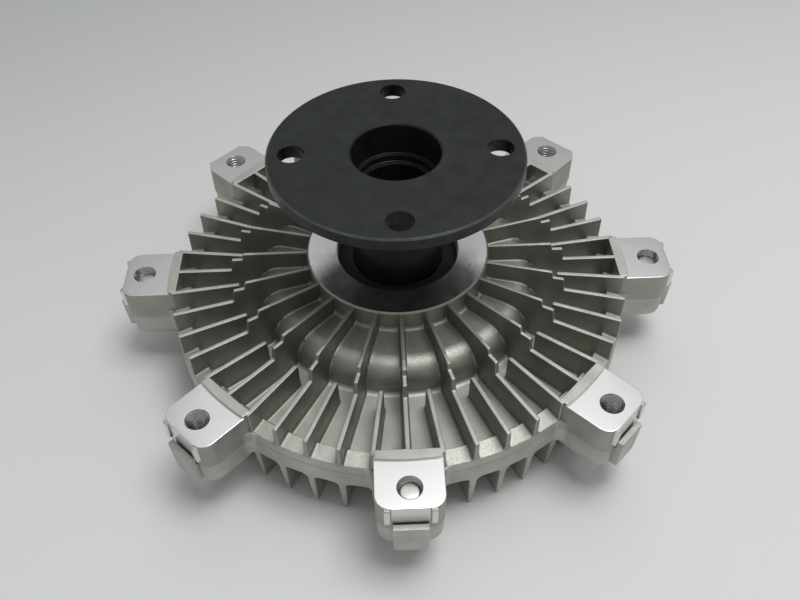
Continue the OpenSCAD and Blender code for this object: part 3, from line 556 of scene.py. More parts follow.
# %% The housing's shell
JOINT_EDGE, COLLAR_EDGE, LIP_EDGE, FINE_EDGE = 0.3, 0.6, 0.4, 0.1
RIM_DRAFT, LAND_DRAFT, DOME_DRAFT, DOME_LEAN, COLLAR_DRAFT = 0.02, 0.3, 0.5, 0.2, 0.1
GROOVE_DEPTH, GROOVE_WIDTH = 1.2, 1.5
WALL, BEARING_WALL = 3.5, 5
KNEE = 8.5
housing_corners = [
    [SPIGOT_R, FACE_Z], [SPIGOT_R, JOINT_Z],
    [RIM_R - JOINT_EDGE, JOINT_Z], [RIM_R, JOINT_Z + JOINT_EDGE],
    [RIM_R - RIM_DRAFT, LAND_Z], [LAND_R + LAND_DRAFT, LAND_TOP], [LAND_R - LAND_DRAFT, FLOOR_Z],
    [DOME_R + DOME_DRAFT, FLOOR_Z], [DOME_R - DOME_LEAN, DOME_Z], [COLLAR_R + COLLAR_DRAFT, DOME_Z],
    [COLLAR_R, COLLAR_Z - COLLAR_EDGE], [COLLAR_R - COLLAR_EDGE, COLLAR_Z],
    [LIP_R + LIP_EDGE, COLLAR_Z], [LIP_R, COLLAR_Z - LIP_EDGE], [LIP_R, BEARING_TOP],
    [BEARING_R, BEARING_TOP], [BEARING_R, BEARING_Z], [BEARING_R + GROOVE_DEPTH, BEARING_Z],
    [BEARING_R + GROOVE_DEPTH, BEARING_Z - GROOVE_WIDTH], [BEARING_R, BEARING_Z - GROOVE_WIDTH],
    [BEARING_R, FACE_Z], [BEARING_R + BEARING_WALL, FACE_Z],
    [BEARING_R + BEARING_WALL, DOME_Z - WALL], [DOME_R - WALL, DOME_Z - WALL], [DOME_R - WALL, FACE_Z],
]
housing_radii = np.full(len(housing_corners), FINE_EDGE)
# The land's two edges and its foot, the dome's foot and knee, and the collar's foot
housing_radii[[4, 5, 6, 7, 8, 9]] = [0.7, 0.5, 0.9, 2.0, KNEE, 1.5]
housing_section = thinned(rounded(housing_corners, housing_radii, 9), FINE_EDGE)
above_joint = housing_section[:, 1] > JOINT_Z + 1
outside_collar = housing_section[:, 0] > COLLAR_R - 0.01
top_skin = housing_section[above_joint & outside_collar]
top_skin = top_skin[np.argsort(top_skin[:, 0])]


def housing_skin(r):
    """The height of the shell's upper skin at a radius, between its section's points."""
    return np.interp(r, top_skin[:, 0], top_skin[:, 1])


def radii_between(skin, low, high):
    """The radii of a skin's section points between two radii."""
    return skin[(skin[:, 0] > low) & (skin[:, 0] < high), 0]


housing_shell = turned(housing_section)
print("shell points:", len(housing_shell[0]))

# %% [markdown]
# ### Fins
# Each fin is a section carried outwards along a radius. At every station the section climbs one side
# and comes down the other: a buried foot, a quarter circle of fillet, the drafted side and a rounded
# edge. Towards a free end the stations draw in along another quarter circle, which rounds the end.
# Plain slabs with a bevel would be quicker, but they would meet the dome in a hard line.

# %% A fin
SUNK, FOOT = 0.05, 1.2
THINNEST = 0.06


def fin(r, tip, root, inset, half, edge, fillet, steps=4):
    """A fin along +X. Section rows: foot, then root + fillet (1 - cos q), then tip - edge (1 - sin q),
    as q runs through a quarter turn. Its half width is half(height), with the fillet added at the root
    and the edge's rounding taken away at the tip, and its two sides never meet. The fillet starts a
    little under the skin, so that it comes out at a slope and the union has no touching surfaces."""
    up = np.sign(tip[-1] - root[-1])
    q = np.linspace(0, np.pi / 2, steps)
    foot = root[:, None] - up * FOOT
    low = root[:, None] + up * (fillet * (1 - np.cos(q)) - SUNK)
    high = tip[:, None] - up * (inset[:, None] + edge * (1 - np.sin(q)))
    z = np.concatenate([foot, low, high], 1)
    extra = np.concatenate([[fillet], fillet * (1 - np.sin(q)), -edge * (1 - np.cos(q))])
    y = np.maximum(half(z) + extra - inset[:, None], THINNEST)
    y = np.concatenate([y, -y[:, ::-1]], 1)
    z = np.concatenate([z, z[:, ::-1]], 1)
    return capped(np.stack([np.broadcast_to(r[:, None], y.shape), y, z], -1))


def ends_rounded(r, radius, at_start):
    """Stations of a fin with a quarter circle of extra ones at its free ends, and their insets."""
    q = np.linspace(0, np.pi / 2, 4)
    inner = r[(r < r[-1] - radius) & (r > r[0] + radius * at_start)]
    out = r[-1] - radius * (1 - np.sin(q))
    into = r[0] + radius * (1 - np.sin(q[::-1])) if at_start else np.empty(0)
    bend = radius * (1 - np.cos(q))
    inset = np.concatenate([bend[::-1][:len(into)], 0 * inner, bend])
    return np.concatenate([into, inner, out]), inset


# %% Fins of the housing
FIN_TIP, FIN_ROOT, FIN_EDGE, FIN_FILLET, FIN_ROUND = 1.3, 2.2, 0.35, 0.9, 0.5
FIN_TOP, FIN_STEP, FIN_LOW = FLOOR_Z + 18.4, FLOOR_Z + 15.7, FLOOR_Z + 10.4
TOP_END, STEP_START, STEP_END, LOW_START = 57.6, 58.1, 62.2, 62.8
STEP_ROUND = 0.55
FIN_END = RIM_R - 0.05
SHORT_START = DOME_R + 6.8


def rear_half(z):
    """Half a rear fin's thickness: it grows evenly from the tip down to the joint."""
    return FIN_TIP / 2 + (FIN_TOP - z) * (FIN_ROOT - FIN_TIP) / 2 / (FIN_TOP - JOINT_Z)


def rear_fin(r, tip, at_start):
    """A fin of the housing through given radii, whose tip's height is a function of the radius."""
    r, inset = ends_rounded(np.unique(r), FIN_ROUND, at_start)
    return fin(r, tip(r), housing_skin(r), inset, rear_half, FIN_EDGE, FIN_FILLET)


crest_corners = [
    [COLLAR_R - 1, FIN_TOP], [TOP_END, FIN_TOP], [STEP_START, FIN_STEP],
    [STEP_END, FIN_STEP], [LOW_START, FIN_LOW], [FIN_END, FIN_LOW],
]
crest = rounded(crest_corners, STEP_ROUND, 4, closed=False)
long_r = np.concatenate([crest[:, 0], radii_between(top_skin, 0, FIN_END)])
long_fin = rear_fin(long_r, lambda r: np.interp(r, *crest.T), at_start=False)
even_r = np.linspace(SHORT_START, FIN_END, 24)
short_r = np.concatenate([even_r, radii_between(top_skin, LAND_R - 2, FIN_END)])
short_fin = rear_fin(short_r, lambda r: 0 * r + FIN_LOW, at_start=True)
rear_fins = joined(around(long_fin, LONG_ANGLES), around(short_fin, SHORT_ANGLES))
print("points of a long fin:", len(long_fin[0]), "of a short one:", len(short_fin[0]))

# %% [markdown]
# ### Lugs
# A lug is worked out in polar coordinates about its own hole: up the threaded wall, over the chamfered
# mouth, across the pad to the lug's outline, and down its side, back to where it began. The thread is
# the wall's radius, which rises and falls as a cosine of z / pitch - angle / one turn. A thread cut by
# a second mesh would take far more faces for the same look.

# %% A lug about its hole
THREAD_PITCH = 1.25
LUG_COLUMNS = 64
LUG_CORNER, LUG_BACK_CORNER = 5.0, 0.3
LUG_BACK = LUG_IN + 2
MOUTH_R = 4.15
PAD_EDGE, PAD_EDGE_PART = 0.3, 0.08
lug_theta = np.arange(LUG_COLUMNS) * 2 * np.pi / LUG_COLUMNS


def polar_outline(inner, outer, half, theta):
    """The distance from a lug's hole to its outline in each direction: a box with round corners."""
    corners = [[inner, -half], [outer, -half], [outer, half], [inner, half]]
    box = rounded(corners, [LUG_BACK_CORNER, LUG_CORNER, LUG_CORNER, LUG_BACK_CORNER], 16)
    edges = np.linspace(0, 1, 24, endpoint=False)[:, None, None]
    dense = (box + edges * (np.roll(box, -1, 0) - box)).reshape(-1, 2)
    angle = np.arctan2(dense[:, 1], dense[:, 0])
    order = np.argsort(angle)
    distance = np.linalg.norm(dense, axis=1)
    return np.interp(theta, angle[order], distance[order], period=2 * np.pi)


def ring_about_hole(radius, z):
    """A closed ring about a lug's hole from rows of radius and height, with one column a direction."""
    x, y = LUG_R + radius * np.cos(lug_theta), radius * np.sin(lug_theta)
    points = np.stack([x, y, z + 0 * lug_theta], -1)
    return outward((points.reshape(-1, 3), [grid_faces(len(radius), LUG_COLUMNS, True, True)]))


def housing_lug(crest_r, depth, start):
    """A lug whose hole's wall is crest_r + depth (1 - cos(turns)) / 2 from a start height upwards, or
    the countersink's cone where that is wider: the mouth's radius less the depth below the pad."""
    edge = polar_outline(LUG_BACK - LUG_R, LUG_OUT - LUG_R, LUG_HALF, lug_theta)
    z = np.concatenate([[JOINT_Z], np.arange(start, PAD_Z - 0.05, THREAD_PITCH / 8)])[:, None]
    wave = (1 - np.cos(2 * np.pi * z / THREAD_PITCH - lug_theta)) / 2
    wall = np.maximum(crest_r + depth * wave * (z > JOINT_Z), MOUTH_R - (PAD_Z - z))
    mouth = 0 * lug_theta + MOUTH_R
    rows = [wall, [mouth], [edge - PAD_EDGE], [edge - PAD_EDGE_PART], [edge], [edge]]
    heights = [z[:, 0], [PAD_Z, PAD_Z, PAD_Z - PAD_EDGE_PART, PAD_Z - PAD_EDGE, JOINT_Z]]
    return ring_about_hole(np.concatenate(rows), np.concatenate(heights)[:, None])


open_lugs = around(housing_lug(3.4, 0.62, JOINT_Z + 0.3), LUG_ANGLES[1::2])
screw_lugs = around(housing_lug(3.6, 0.5, screw_high[2] - 1.5), LUG_ANGLES[0::2])
print("points of the lugs:", len(open_lugs[0]) + len(screw_lugs[0]))

# %% [markdown]
# ### Strips, ribs and fillets on the lugs
# Behind each pad stands a bar whose outer side was turned, as the shoulder that centres the fan. Two
# ribs on the lug's end hold the cover's tab between them, and a fillet leads from the lug's sides into
# the rim. Each is an outline carried along one axis, and only the bar is bent to the shoulder's circle.

# %% Strips, ribs and fillets
STRIP_ROUNDS = [0.1, 0.1, 0.25, 0.35]
STRIP_END, STRIP_END_PART = 0.5, 0.15
RIB_NEAR, RIB_FAR, RIB_OUT = 6.2, 8.2, LUG_OUT + 0.8
RIB_FOOT, RIB_TOP = JOINT_Z + 4, PAD_Z - 0.4
RIB_ROUND, RIB_EDGE = 0.2, 0.25
LUG_FILLET = 4.0
BURIED_SIDE, BURIED_BACK, BURIED_END = 2.5, 1.5, 0.5


def lug_strip():
    """The bar behind a pad: a section in radius and height carried across the lug, whose outer side
    follows the turned shoulder, x = sqrt(shoulder^2 - y^2)."""
    corners = [[LUG_IN, FLOOR_Z], [SHOULDER_R, FLOOR_Z], [SHOULDER_R, STRIP_Z], [LUG_IN, STRIP_Z]]
    section = rounded(corners, STRIP_ROUNDS, 5)
    ends = [-LUG_HALF, -LUG_HALF + STRIP_END_PART, -LUG_HALF + STRIP_END]
    y = np.concatenate([ends, np.linspace(-10, 10, 21)])
    y = np.unique(np.concatenate([y, -y]))
    from_end = LUG_HALF - np.abs(y)
    inset = np.interp(from_end, [0, STRIP_END_PART, STRIP_END], [STRIP_END, STRIP_END_PART, 0])
    points, faces = prism(section, y, inset)
    share = (points[:, 0] - LUG_IN) / (SHOULDER_R - LUG_IN)
    points[:, 0] = LUG_IN + share * (np.sqrt(SHOULDER_R**2 - points[:, 2] ** 2) - LUG_IN)
    return standing((points, faces), [0, 2, 1])


def lug_rib():
    """A rib on the lug's outer face, drawn in along its outer edges."""
    corners = [[RIB_NEAR, RIB_FOOT], [RIB_FAR, RIB_FOOT], [RIB_FAR, RIB_TOP], [RIB_NEAR, RIB_TOP]]
    levels = [LUG_OUT - 5, RIB_OUT - RIB_EDGE, RIB_OUT]
    return standing(prism(rounded(corners, RIB_ROUND), levels, [0, 0, RIB_EDGE]), [2, 0, 1])


def lug_fillet(half, low, high):
    """The fillet between a lug's side and the rim: an arc about a centre that lies one fillet radius
    from the side and from the rim, closed behind and carried upwards."""
    out = half + LUG_FILLET
    centre = np.array([math.sqrt((RIM_R + LUG_FILLET) ** 2 - out**2), out])
    sweep = np.linspace(-np.pi / 2, math.atan2(-centre[1], -centre[0]), 12)
    arc = centre + LUG_FILLET * np.stack([np.cos(sweep), np.sin(sweep)], -1)
    side, back = half - BURIED_SIDE, arc[-1, 0] - BURIED_BACK
    behind = [[back, arc[-1, 1] - BURIED_END], [back, side], [arc[0, 0], side]]
    return prism(np.concatenate([arc, behind])[::-1], [low, high], [0, 0])


half_rib, half_fillet = lug_rib(), lug_fillet(LUG_HALF, JOINT_Z + 0.05, LAND_Z - 0.1)
lug_pieces = [lug_strip(), half_rib, mirrored(half_rib), half_fillet, mirrored(half_fillet)]
print("pieces on a lug:", len(lug_pieces))

# %% [markdown]
# ### One casting with six finishes
# A lathe has faced the pads and the collar. The dome, the upright faces of the lugs and the rim, and the
# fins' sides get darker copies of the cast skin: painted shade where they lie in shade. Each face of the
# union gets its finish from where it lies and where it looks, so no face has to be picked by hand.

# %% The housing's union and its finishes
rear_housing = fused(
    "rear_housing_cast", housing_shell,
    added=[rear_fins, joined(open_lugs, screw_lugs)] + [around(piece, LUG_ANGLES) for piece in lug_pieces],
)
NEAR = 0.02


def housing_finish(centre, normal):
    """0 for the casting, 1 for the faced pads and the lugs' turned ends, 2 for the collar, 3 for threads,
    4 for the dome and the lugs' sides, and 5 for the fins' sides: both darker copies of the casting,
    painted shade, darkest on the fins' sides. A fin's side is upright and looks across the radius."""
    r, z = np.hypot(centre[:, 0], centre[:, 1]), centre[:, 2]
    degrees = np.degrees(np.arctan2(centre[:, 1], centre[:, 0]))
    from_lug = np.radians((degrees + 112.5) % 45 - 22.5)
    from_hole = np.hypot(r * np.cos(from_lug) - LUG_R, r * np.sin(from_lug))
    pad = (r > SHOULDER_R - 0.8) & (z > PAD_Z - PAD_EDGE - 0.01) & (z < STRIP_Z - 0.1)
    end = (r * np.cos(from_lug) > LUG_OUT - NEAR) & (np.abs(normal[:, 2]) < 0.5)
    thread = (from_hole < MOUTH_R - NEAR) & (z < PAD_Z - NEAR)
    collar = (r < COLLAR_R - 0.5) & (z > COLLAR_Z - 0.9)
    upright = np.abs(normal[:, 2]) < 0.35
    outwards = np.abs((centre[:, :2] * normal[:, :2]).sum(1)) / r
    # The fins' sides and the sheltered faces are picked for painted shade: darker copies of the casting.
    fin_side = upright & (outwards < 0.5) & (r < RIM_R)
    painted_shade = (r < DOME_R + DOME_DRAFT) | (upright & ((z > LAND_Z) | (r > RIM_R + 0.5)))
    return np.select([collar, thread, pad | end, fin_side, painted_shade], [2, 3, 1, 5, 4], 0)


housing_materials = [CASTING, FACED, COLLAR, THREAD, SHADE_PAINTED_CASTING, FIN_SIDE_PAINTED_SHADE]
dressed(rear_housing, "housing", ["rear_housing"], housing_materials, housing_finish)

# %% [markdown]
# ## The front cover
# The cover closes the working chamber from the front. It is a casting like the housing: a turned shell,
# fins that taper to their tips and flare into the rim, lugs with a hole for the screws, and a tab on
# each lug that locks between the ribs of the housing's lug. So it is made by the same functions.

# %% The cover's shell
DRUM_R, SEAT_R = 80.0, 58.5
DRUM_Z, SKIN_Z = 12.5, 9.6
STEP_R = SEAT_R + 3.5
CHAMBER_Z, SEAT_Z, RESERVOIR_Z, RESERVOIR_R = 16.0, 16.3, 12.6, 53.5
SHAFT_HOLE, SHAFT_BOSS_R, SHAFT_BOSS_Z = 3.05, 8, 14.7
SEAL_R = (SPIGOT_R + RIM_R) / 2
SEAL_HALF, SEAL_DEPTH = 1.2, 1.8
SEAL_Z = JOINT_Z - SEAL_DEPTH
ROTOR_R, RIDGE_PITCH, RIDGE_TOP, RIDGE_NEAR, RIDGE_FAR = 75, 4.4, 20.0, 0.4, 2.2
ridges = []
for inner_r in ROTOR_R - RIDGE_PITCH * np.arange(3, 0, -1):
    near, far = inner_r + RIDGE_NEAR, inner_r + RIDGE_FAR
    ridges += [[near, CHAMBER_Z], [near, RIDGE_TOP], [far, RIDGE_TOP], [far, CHAMBER_Z]]
cover_corners = [
    [RIM_R - JOINT_EDGE, JOINT_Z], [RIM_R, JOINT_Z - JOINT_EDGE],
    [RIM_R, RIM_Z], [DRUM_R, RIM_Z], [DRUM_R, DRUM_Z], [STEP_R, DRUM_Z], [STEP_R, SKIN_Z],
    [SHAFT_HOLE, SKIN_Z], [SHAFT_HOLE, SHAFT_BOSS_Z], [SHAFT_BOSS_R, SHAFT_BOSS_Z],
    [SHAFT_BOSS_R, RESERVOIR_Z], [RESERVOIR_R, RESERVOIR_Z],
    [RESERVOIR_R, SEAT_Z], [SEAT_R, SEAT_Z], [SEAT_R, CHAMBER_Z],
    *ridges, [CHAMBER_R, CHAMBER_Z], [CHAMBER_R, FACE_Z], [SPIGOT_R, FACE_Z], [SPIGOT_R, JOINT_Z],
    [SEAL_R - SEAL_HALF, JOINT_Z], [SEAL_R - SEAL_HALF, SEAL_Z],
    [SEAL_R + SEAL_HALF, SEAL_Z], [SEAL_R + SEAL_HALF, JOINT_Z],
]
cover_radii = np.full(len(cover_corners), FINE_EDGE)
# The rim's lower edge, the corner under it, the drum's lower edge, and the step in to the middle
cover_radii[[2, 3, 4, 5, 6]] = [1.0, 1.4, 3.0, 1.2, 1.6]
cover_section = thinned(rounded(cover_corners, cover_radii, 7), FINE_EDGE)
cover_shell = turned(cover_section)
print("cover shell points:", len(cover_shell[0]))

# %% The cover's fins
FRONT_TIP, FRONT_ROOT, FRONT_EDGE, FRONT_FILLET, FRONT_ROUND = 1.3, 2.8, 0.4, 2.6, 0.45
FRONT_END = RIM_R - 0.3
FRONT_START = 32.0
SKIN_START = 20
LEAN, LEAN_LENGTH = 1.6, 12
under = cover_section[(cover_section[:, 1] < JOINT_Z - 1) & (cover_section[:, 0] > SKIN_START)]
under = under[: np.argmin(under[:, 0]) + 1]
under = np.concatenate([under[under[:, 1] <= RIM_Z + 1.0], [[SKIN_START, SKIN_Z]]])
under = under[np.argsort(under[:, 0])]


def cover_skin(r):
    """The height of the cover's under side at a radius."""
    return np.interp(r, under[:, 0] + 1e-6 * np.arange(len(under)), under[:, 1])


def front_half(z):
    """Half a front fin's thickness: thin at the tip, evenly thicker up to the rim."""
    return FRONT_TIP / 2 + z * (FRONT_ROOT - FRONT_TIP) / 2 / RIM_Z


def front_fin(start):
    """A front fin from a start radius to the rim, with its outer edge sloping in towards the tip."""
    even = np.linspace(start, FRONT_END, 14)
    r = np.unique(np.concatenate([even, radii_between(under, start, FRONT_END)]))
    r, inset = ends_rounded(r, FRONT_ROUND, at_start=True)
    points, faces = fin(r, 0 * r, cover_skin(r), inset, front_half, FRONT_EDGE, FRONT_FILLET, 6)
    slope = np.clip((points[:, 0] - (FRONT_END - LEAN_LENGTH)) / LEAN_LENGTH, 0, 1)
    points[:, 0] -= LEAN * slope * np.clip(1 - points[:, 2] / RIM_Z, 0, 1)
    return points, faces


front_fins = joined(around(front_fin(FRONT_START), LONG_ANGLES), around(front_fin(SEAT_R), SHORT_ANGLES))
print("front fin points:", len(front_fins[0]))

# %% The cover's lugs and tabs
TAB_OUT, TAB_TOP, TAB_FOOT = cover_high[0], cover_high[2], LUG_Z + 0.3
TAB_HALF, TAB_FOOT_HALF = 5.9, 5.9 - 0.3
TAB_BACK, TAB_LEAN = LUG_OUT + 0.4, 0.5
TAB_EDGE, TAB_EDGE_PART, TAB_FOOT_ROUND = 0.5, 0.15, 2
SCREW_HOLE, LUG_BEND = 4.4, 3.0
OUTWARDS = [2, 0, 1]


def cover_lug():
    """A ring about the screw hole: down its wall, out along the under side, round the lower edge as a
    quarter circle, and up the side to the joint."""
    outer, half = LUG_OUT - JOINT_EDGE - LUG_R, LUG_HALF - JOINT_EDGE
    edge = polar_outline(LUG_BACK - LUG_R, outer, half, lug_theta)
    q = np.linspace(0, np.pi / 2, 7)[:, None]
    wall = 0 * lug_theta + SCREW_HOLE
    low = edge - LUG_BEND * (1 - np.sin(q))
    low_z = LUG_Z + LUG_BEND * (1 - np.cos(q[:, 0]))
    radius = np.concatenate([[wall], [wall], low, [edge], [edge - JOINT_EDGE]])
    z = np.concatenate([[JOINT_Z, LUG_Z], low_z, [JOINT_Z - JOINT_EDGE, JOINT_Z]])
    return ring_about_hole(radius, z[:, None])


def lug_tab():
    """The tab: its front outline in width and height carried outwards, leaning in at the foot, with a
    lower block that ties it to the cover's lug."""
    foot = TAB_FOOT_HALF
    corners = [[-foot, TAB_FOOT], [foot, TAB_FOOT], [TAB_HALF, TAB_TOP], [-TAB_HALF, TAB_TOP]]
    outline = rounded(corners, [TAB_FOOT_ROUND, TAB_FOOT_ROUND, TAB_EDGE, TAB_EDGE], 6)
    levels = [TAB_BACK, TAB_BACK + 0.2, TAB_OUT - TAB_EDGE, TAB_OUT - TAB_EDGE_PART, TAB_OUT]
    points, faces = prism(outline, levels, [0.2, 0, 0, TAB_EDGE_PART, TAB_EDGE])
    points[:, 2] -= TAB_LEAN * (TAB_TOP - points[:, 1]) / (TAB_TOP - TAB_FOOT)
    top = JOINT_Z - JOINT_EDGE
    block = [[-foot, TAB_FOOT], [foot, TAB_FOOT], [foot, top], [-foot, top]]
    block = rounded(block, [TAB_FOOT_ROUND, TAB_FOOT_ROUND, 0.2, 0.2], 6)
    tie = prism(block, [LUG_OUT - 4, LUG_OUT + 1], [0.05, 0.05])
    return standing((points, faces), OUTWARDS), standing(tie, OUTWARDS)


tab, tie = lug_tab()
print("points of a tab:", len(tab[0]))

# %% The coil's post, and the cover's union
POST_HALF, POST_SLOT, POST_EDGE = 2.2, 0.7, 0.25
POST_NEAR, SLOT_END, POST_FAR = 1.5, 6.1, 7.6


def coil_post():
    """The post that holds the coil's outer end: a U in plan, carried from the strip into the cover."""
    x = coil_high[0] - 0.6
    plan = [
        [x - POST_HALF, POST_NEAR], [x - POST_SLOT, POST_NEAR], [x - POST_SLOT, SLOT_END],
        [x + POST_SLOT, SLOT_END], [x + POST_SLOT, POST_NEAR], [x + POST_HALF, POST_NEAR],
        [x + POST_HALF, POST_FAR], [x - POST_HALF, POST_FAR],
    ]
    levels = [coil_low[2], coil_low[2] + POST_EDGE, SKIN_Z + 1]
    return prism(rounded(plan, POST_EDGE), levels, [0.2, 0, 0])


cover_fillet = lug_fillet(LUG_HALF - JOINT_EDGE, RIM_Z + 0.5, JOINT_Z - 0.05)
cover_pieces = [cover_lug(), tab, tie, cover_fillet, mirrored(cover_fillet)]
front_cover = fused(
    "front_cover_cast", cover_shell,
    added=[front_fins] + [around(piece, LUG_ANGLES) for piece in cover_pieces] + [coil_post()],
)
dressed(front_cover, "housing", ["front_cover"], [CASTING])

# %% [markdown]
# ## The hub
# The hub is turned from one bar: flange, boss, neck, bearing seat and rotor seat, with a stepped bore.
# Its section starts and ends on the axis, so one list of radii and heights holds every size, where a
# stack of cylinders would need its joints cleaned. Four chamfered bolt holes are cut by spools.

# %% Hub
FLANGE_Z, TOP_Z, FLANGE_R = hub_high[2] - 5, hub_high[2], hub_high[0]
BOTTOM_Z, BEVEL = hub_low[2], 0.6
SWAGE_R, SWAGE_Z, ROTOR_SEAT_R, BEARING_SEAT_R = 12.5, 20.4, 10.5, 12.5
NECK_R, NECK_Z, BOSS_R, BOSS_Z = 16.3, 68.7, 20.8, 73.2
PILOT_R, PILOT_Z = 15.3, TOP_Z - 12.3
COUNTER_R, COUNTER_Z = 13.8, TOP_Z - 14.8
DRILL_R, DRILL_Z, DRILL_POINT = 12, TOP_Z - 22.8, TOP_Z - 28.8
hub_corners = [
    [0, BOTTOM_Z], [SWAGE_R - BEVEL, BOTTOM_Z], [SWAGE_R, BOTTOM_Z + BEVEL], [SWAGE_R, SWAGE_Z],
    [ROTOR_SEAT_R, SWAGE_Z], [ROTOR_SEAT_R, BEARING_Z],
    [BEARING_SEAT_R, BEARING_Z], [BEARING_SEAT_R, BEARING_TOP],
    [NECK_R - BEVEL, BEARING_TOP], [NECK_R, BEARING_TOP + BEVEL], [NECK_R, NECK_Z],
    [BOSS_R, BOSS_Z], [BOSS_R, FLANGE_Z],
    [FLANGE_R - BEVEL, FLANGE_Z], [FLANGE_R, FLANGE_Z + BEVEL],
    [FLANGE_R, TOP_Z - BEVEL], [FLANGE_R - BEVEL, TOP_Z],
    [PILOT_R + BEVEL, TOP_Z], [PILOT_R, TOP_Z - BEVEL], [PILOT_R, PILOT_Z],
    [COUNTER_R, PILOT_Z], [COUNTER_R, COUNTER_Z],
    [DRILL_R, COUNTER_Z], [DRILL_R, DRILL_Z], [0, DRILL_POINT],
]
hub_radii = np.full(len(hub_corners), 0.12)
# The neck's upper end, the boss's edge and its corner under the flange, and two floors of the bore
hub_radii[[10, 11, 12, 19, 21]] = [0.8, 0.8, 1.0, 0.3, 0.3]
hub_section = rounded(hub_corners, hub_radii, 5, closed=False)
hub_solid = turned_solid(hub_section[1:-1, :1], hub_section[:, 1], 192)

BOLT_R, HOLE_R, HOLE_EDGE, PAST = 35.25, 4.5, 0.2, 0.5
MOUTH_PAST = HOLE_R + HOLE_EDGE + PAST
spool_r = np.array([[MOUTH_PAST], [HOLE_R], [HOLE_R], [MOUTH_PAST]])
spool_z = np.array([
    FLANGE_Z - PAST, FLANGE_Z - PAST, FLANGE_Z + HOLE_EDGE,
    TOP_Z - HOLE_EDGE, TOP_Z + PAST, TOP_Z + PAST,
])
spool_points, spool_faces = turned_solid(spool_r, spool_z, 48)
spools = around((spool_points + [BOLT_R, 0, 0], spool_faces), np.arange(4) * 90)
hub = fused("hub_shaft_turned", hub_solid, cut=[spools])


def hub_finish(centre, normal):
    """0 for the black steel, 1 for the flange's top edge with its painted highlight."""
    r = np.hypot(centre[:, 0], centre[:, 1])
    return ((r > FLANGE_R - BEVEL - NEAR) & (centre[:, 2] > TOP_Z - BEVEL - NEAR)).astype(int)


dressed(hub, "hub", ["hub_shaft"], [BLACK, EDGE_HIGHLIGHT], hub_finish)

# %% [markdown]
# ## The screws
# The screws come from the front, and their ends show in every second lug. They are turned solids too.
# The socket of the head is a row of radii that follow a hexagon: half the width across flats over cos
# of the angle from a flat's middle. So the socket needs no cut.

# %% Screws
SCREW_TIP, HEAD_TOP, HEAD_Z = screw_high[2], LUG_Z, screw_low[2]
SCREW_COLUMNS = 60
TIP_R, THREADED_R, SHANK_R, HEAD_R, CROWN_R = 2.75, 3.55, 4.0, 6.7, 3.5
HEAD_EDGE, SOCKET_HALF, SOCKET_EDGE, SOCKET_DEPTH, SOCKET_POINT = 0.15, 2.5, 0.25, 2.4, 2.9
screw_theta = np.arange(SCREW_COLUMNS) * 2 * np.pi / SCREW_COLUMNS
hexagon = SOCKET_HALF / np.cos((screw_theta + np.pi / 6) % (np.pi / 3) - np.pi / 6)
dome = np.linspace(0, 1, 8)
crown_r = np.sqrt(HEAD_R**2 - dome * (HEAD_R**2 - CROWN_R**2))
crown_z = HEAD_TOP - HEAD_EDGE - dome * (HEAD_TOP - HEAD_EDGE - HEAD_Z)
shank = np.array([
    [TIP_R, SCREW_TIP], [TIP_R + 0.25, SCREW_TIP - 0.06], [THREADED_R, SCREW_TIP - 0.6],
    [THREADED_R, JOINT_Z], [SHANK_R, JOINT_Z - 0.4], [SHANK_R, HEAD_TOP],
    [HEAD_R - HEAD_EDGE, HEAD_TOP], [HEAD_R, HEAD_TOP - HEAD_EDGE],
])
round_rows = np.concatenate([shank[:, 0], crown_r[1:]])[:, None]
screw_rows = np.concatenate([
    np.repeat(round_rows, SCREW_COLUMNS, 1), [hexagon + SOCKET_EDGE, hexagon, hexagon],
])
socket_z = HEAD_Z + np.array([0, SOCKET_EDGE, SOCKET_DEPTH, SOCKET_POINT])
screw_heights = np.concatenate([[SCREW_TIP], shank[:, 1], crown_z[1:], socket_z])
screw_points, screw_faces = turned_solid(screw_rows, screw_heights, SCREW_COLUMNS)
screw_shape = around((screw_points + [LUG_R, 0, 0], screw_faces), LUG_ANGLES[0::2])
screws = new_object("cover_screws_plated", screw_shape)
dressed(screws, "housing", ["cover_screws"], [ZINC])

# %% [markdown]
# ## The bimetal coil
# The coil is a strip's section carried along a spiral of half turns. Its inner end sits in the valve
# shaft's slot and turns with it, so the first quarter turn is a piece of its own, joined to no body.
# The real strip shares that turn out over all its coils.

# %% The coil's path
COIL_R, COIL_PITCH, HALF_TURNS, STRIP_T, BEND = 5.2, 3.4, 10, 1.2, 1.2
TONGUE_START, TAIL_START, TAIL_END = -2.8, 0.9, 5.95
phi = np.linspace(math.asin(BEND / COIL_R), HALF_TURNS * np.pi - 1e-6, 300)
turn_number = np.floor(phi / np.pi)
spiral_r = COIL_R + turn_number * COIL_PITCH / 2
spiral_x = turn_number % 2 * COIL_PITCH / 2 + spiral_r * np.cos(phi)
spiral = np.stack([spiral_x, spiral_r * np.sin(phi)], -1)
bend_x = spiral[0, 0] - BEND
tongue = np.stack([np.linspace(TONGUE_START, bend_x, 8), np.zeros(8)], -1)
corner = np.linspace(-np.pi / 2, 0, 6)[1:-1]
bent = np.array([bend_x, BEND]) + BEND * np.stack([np.cos(corner), np.sin(corner)], -1)
tail = np.stack([np.full(6, spiral[-1, 0]), np.linspace(TAIL_START, TAIL_END, 6)], -1)
path = np.concatenate([tongue, bent, spiral, tail])
print("points of the coil's path:", len(path))

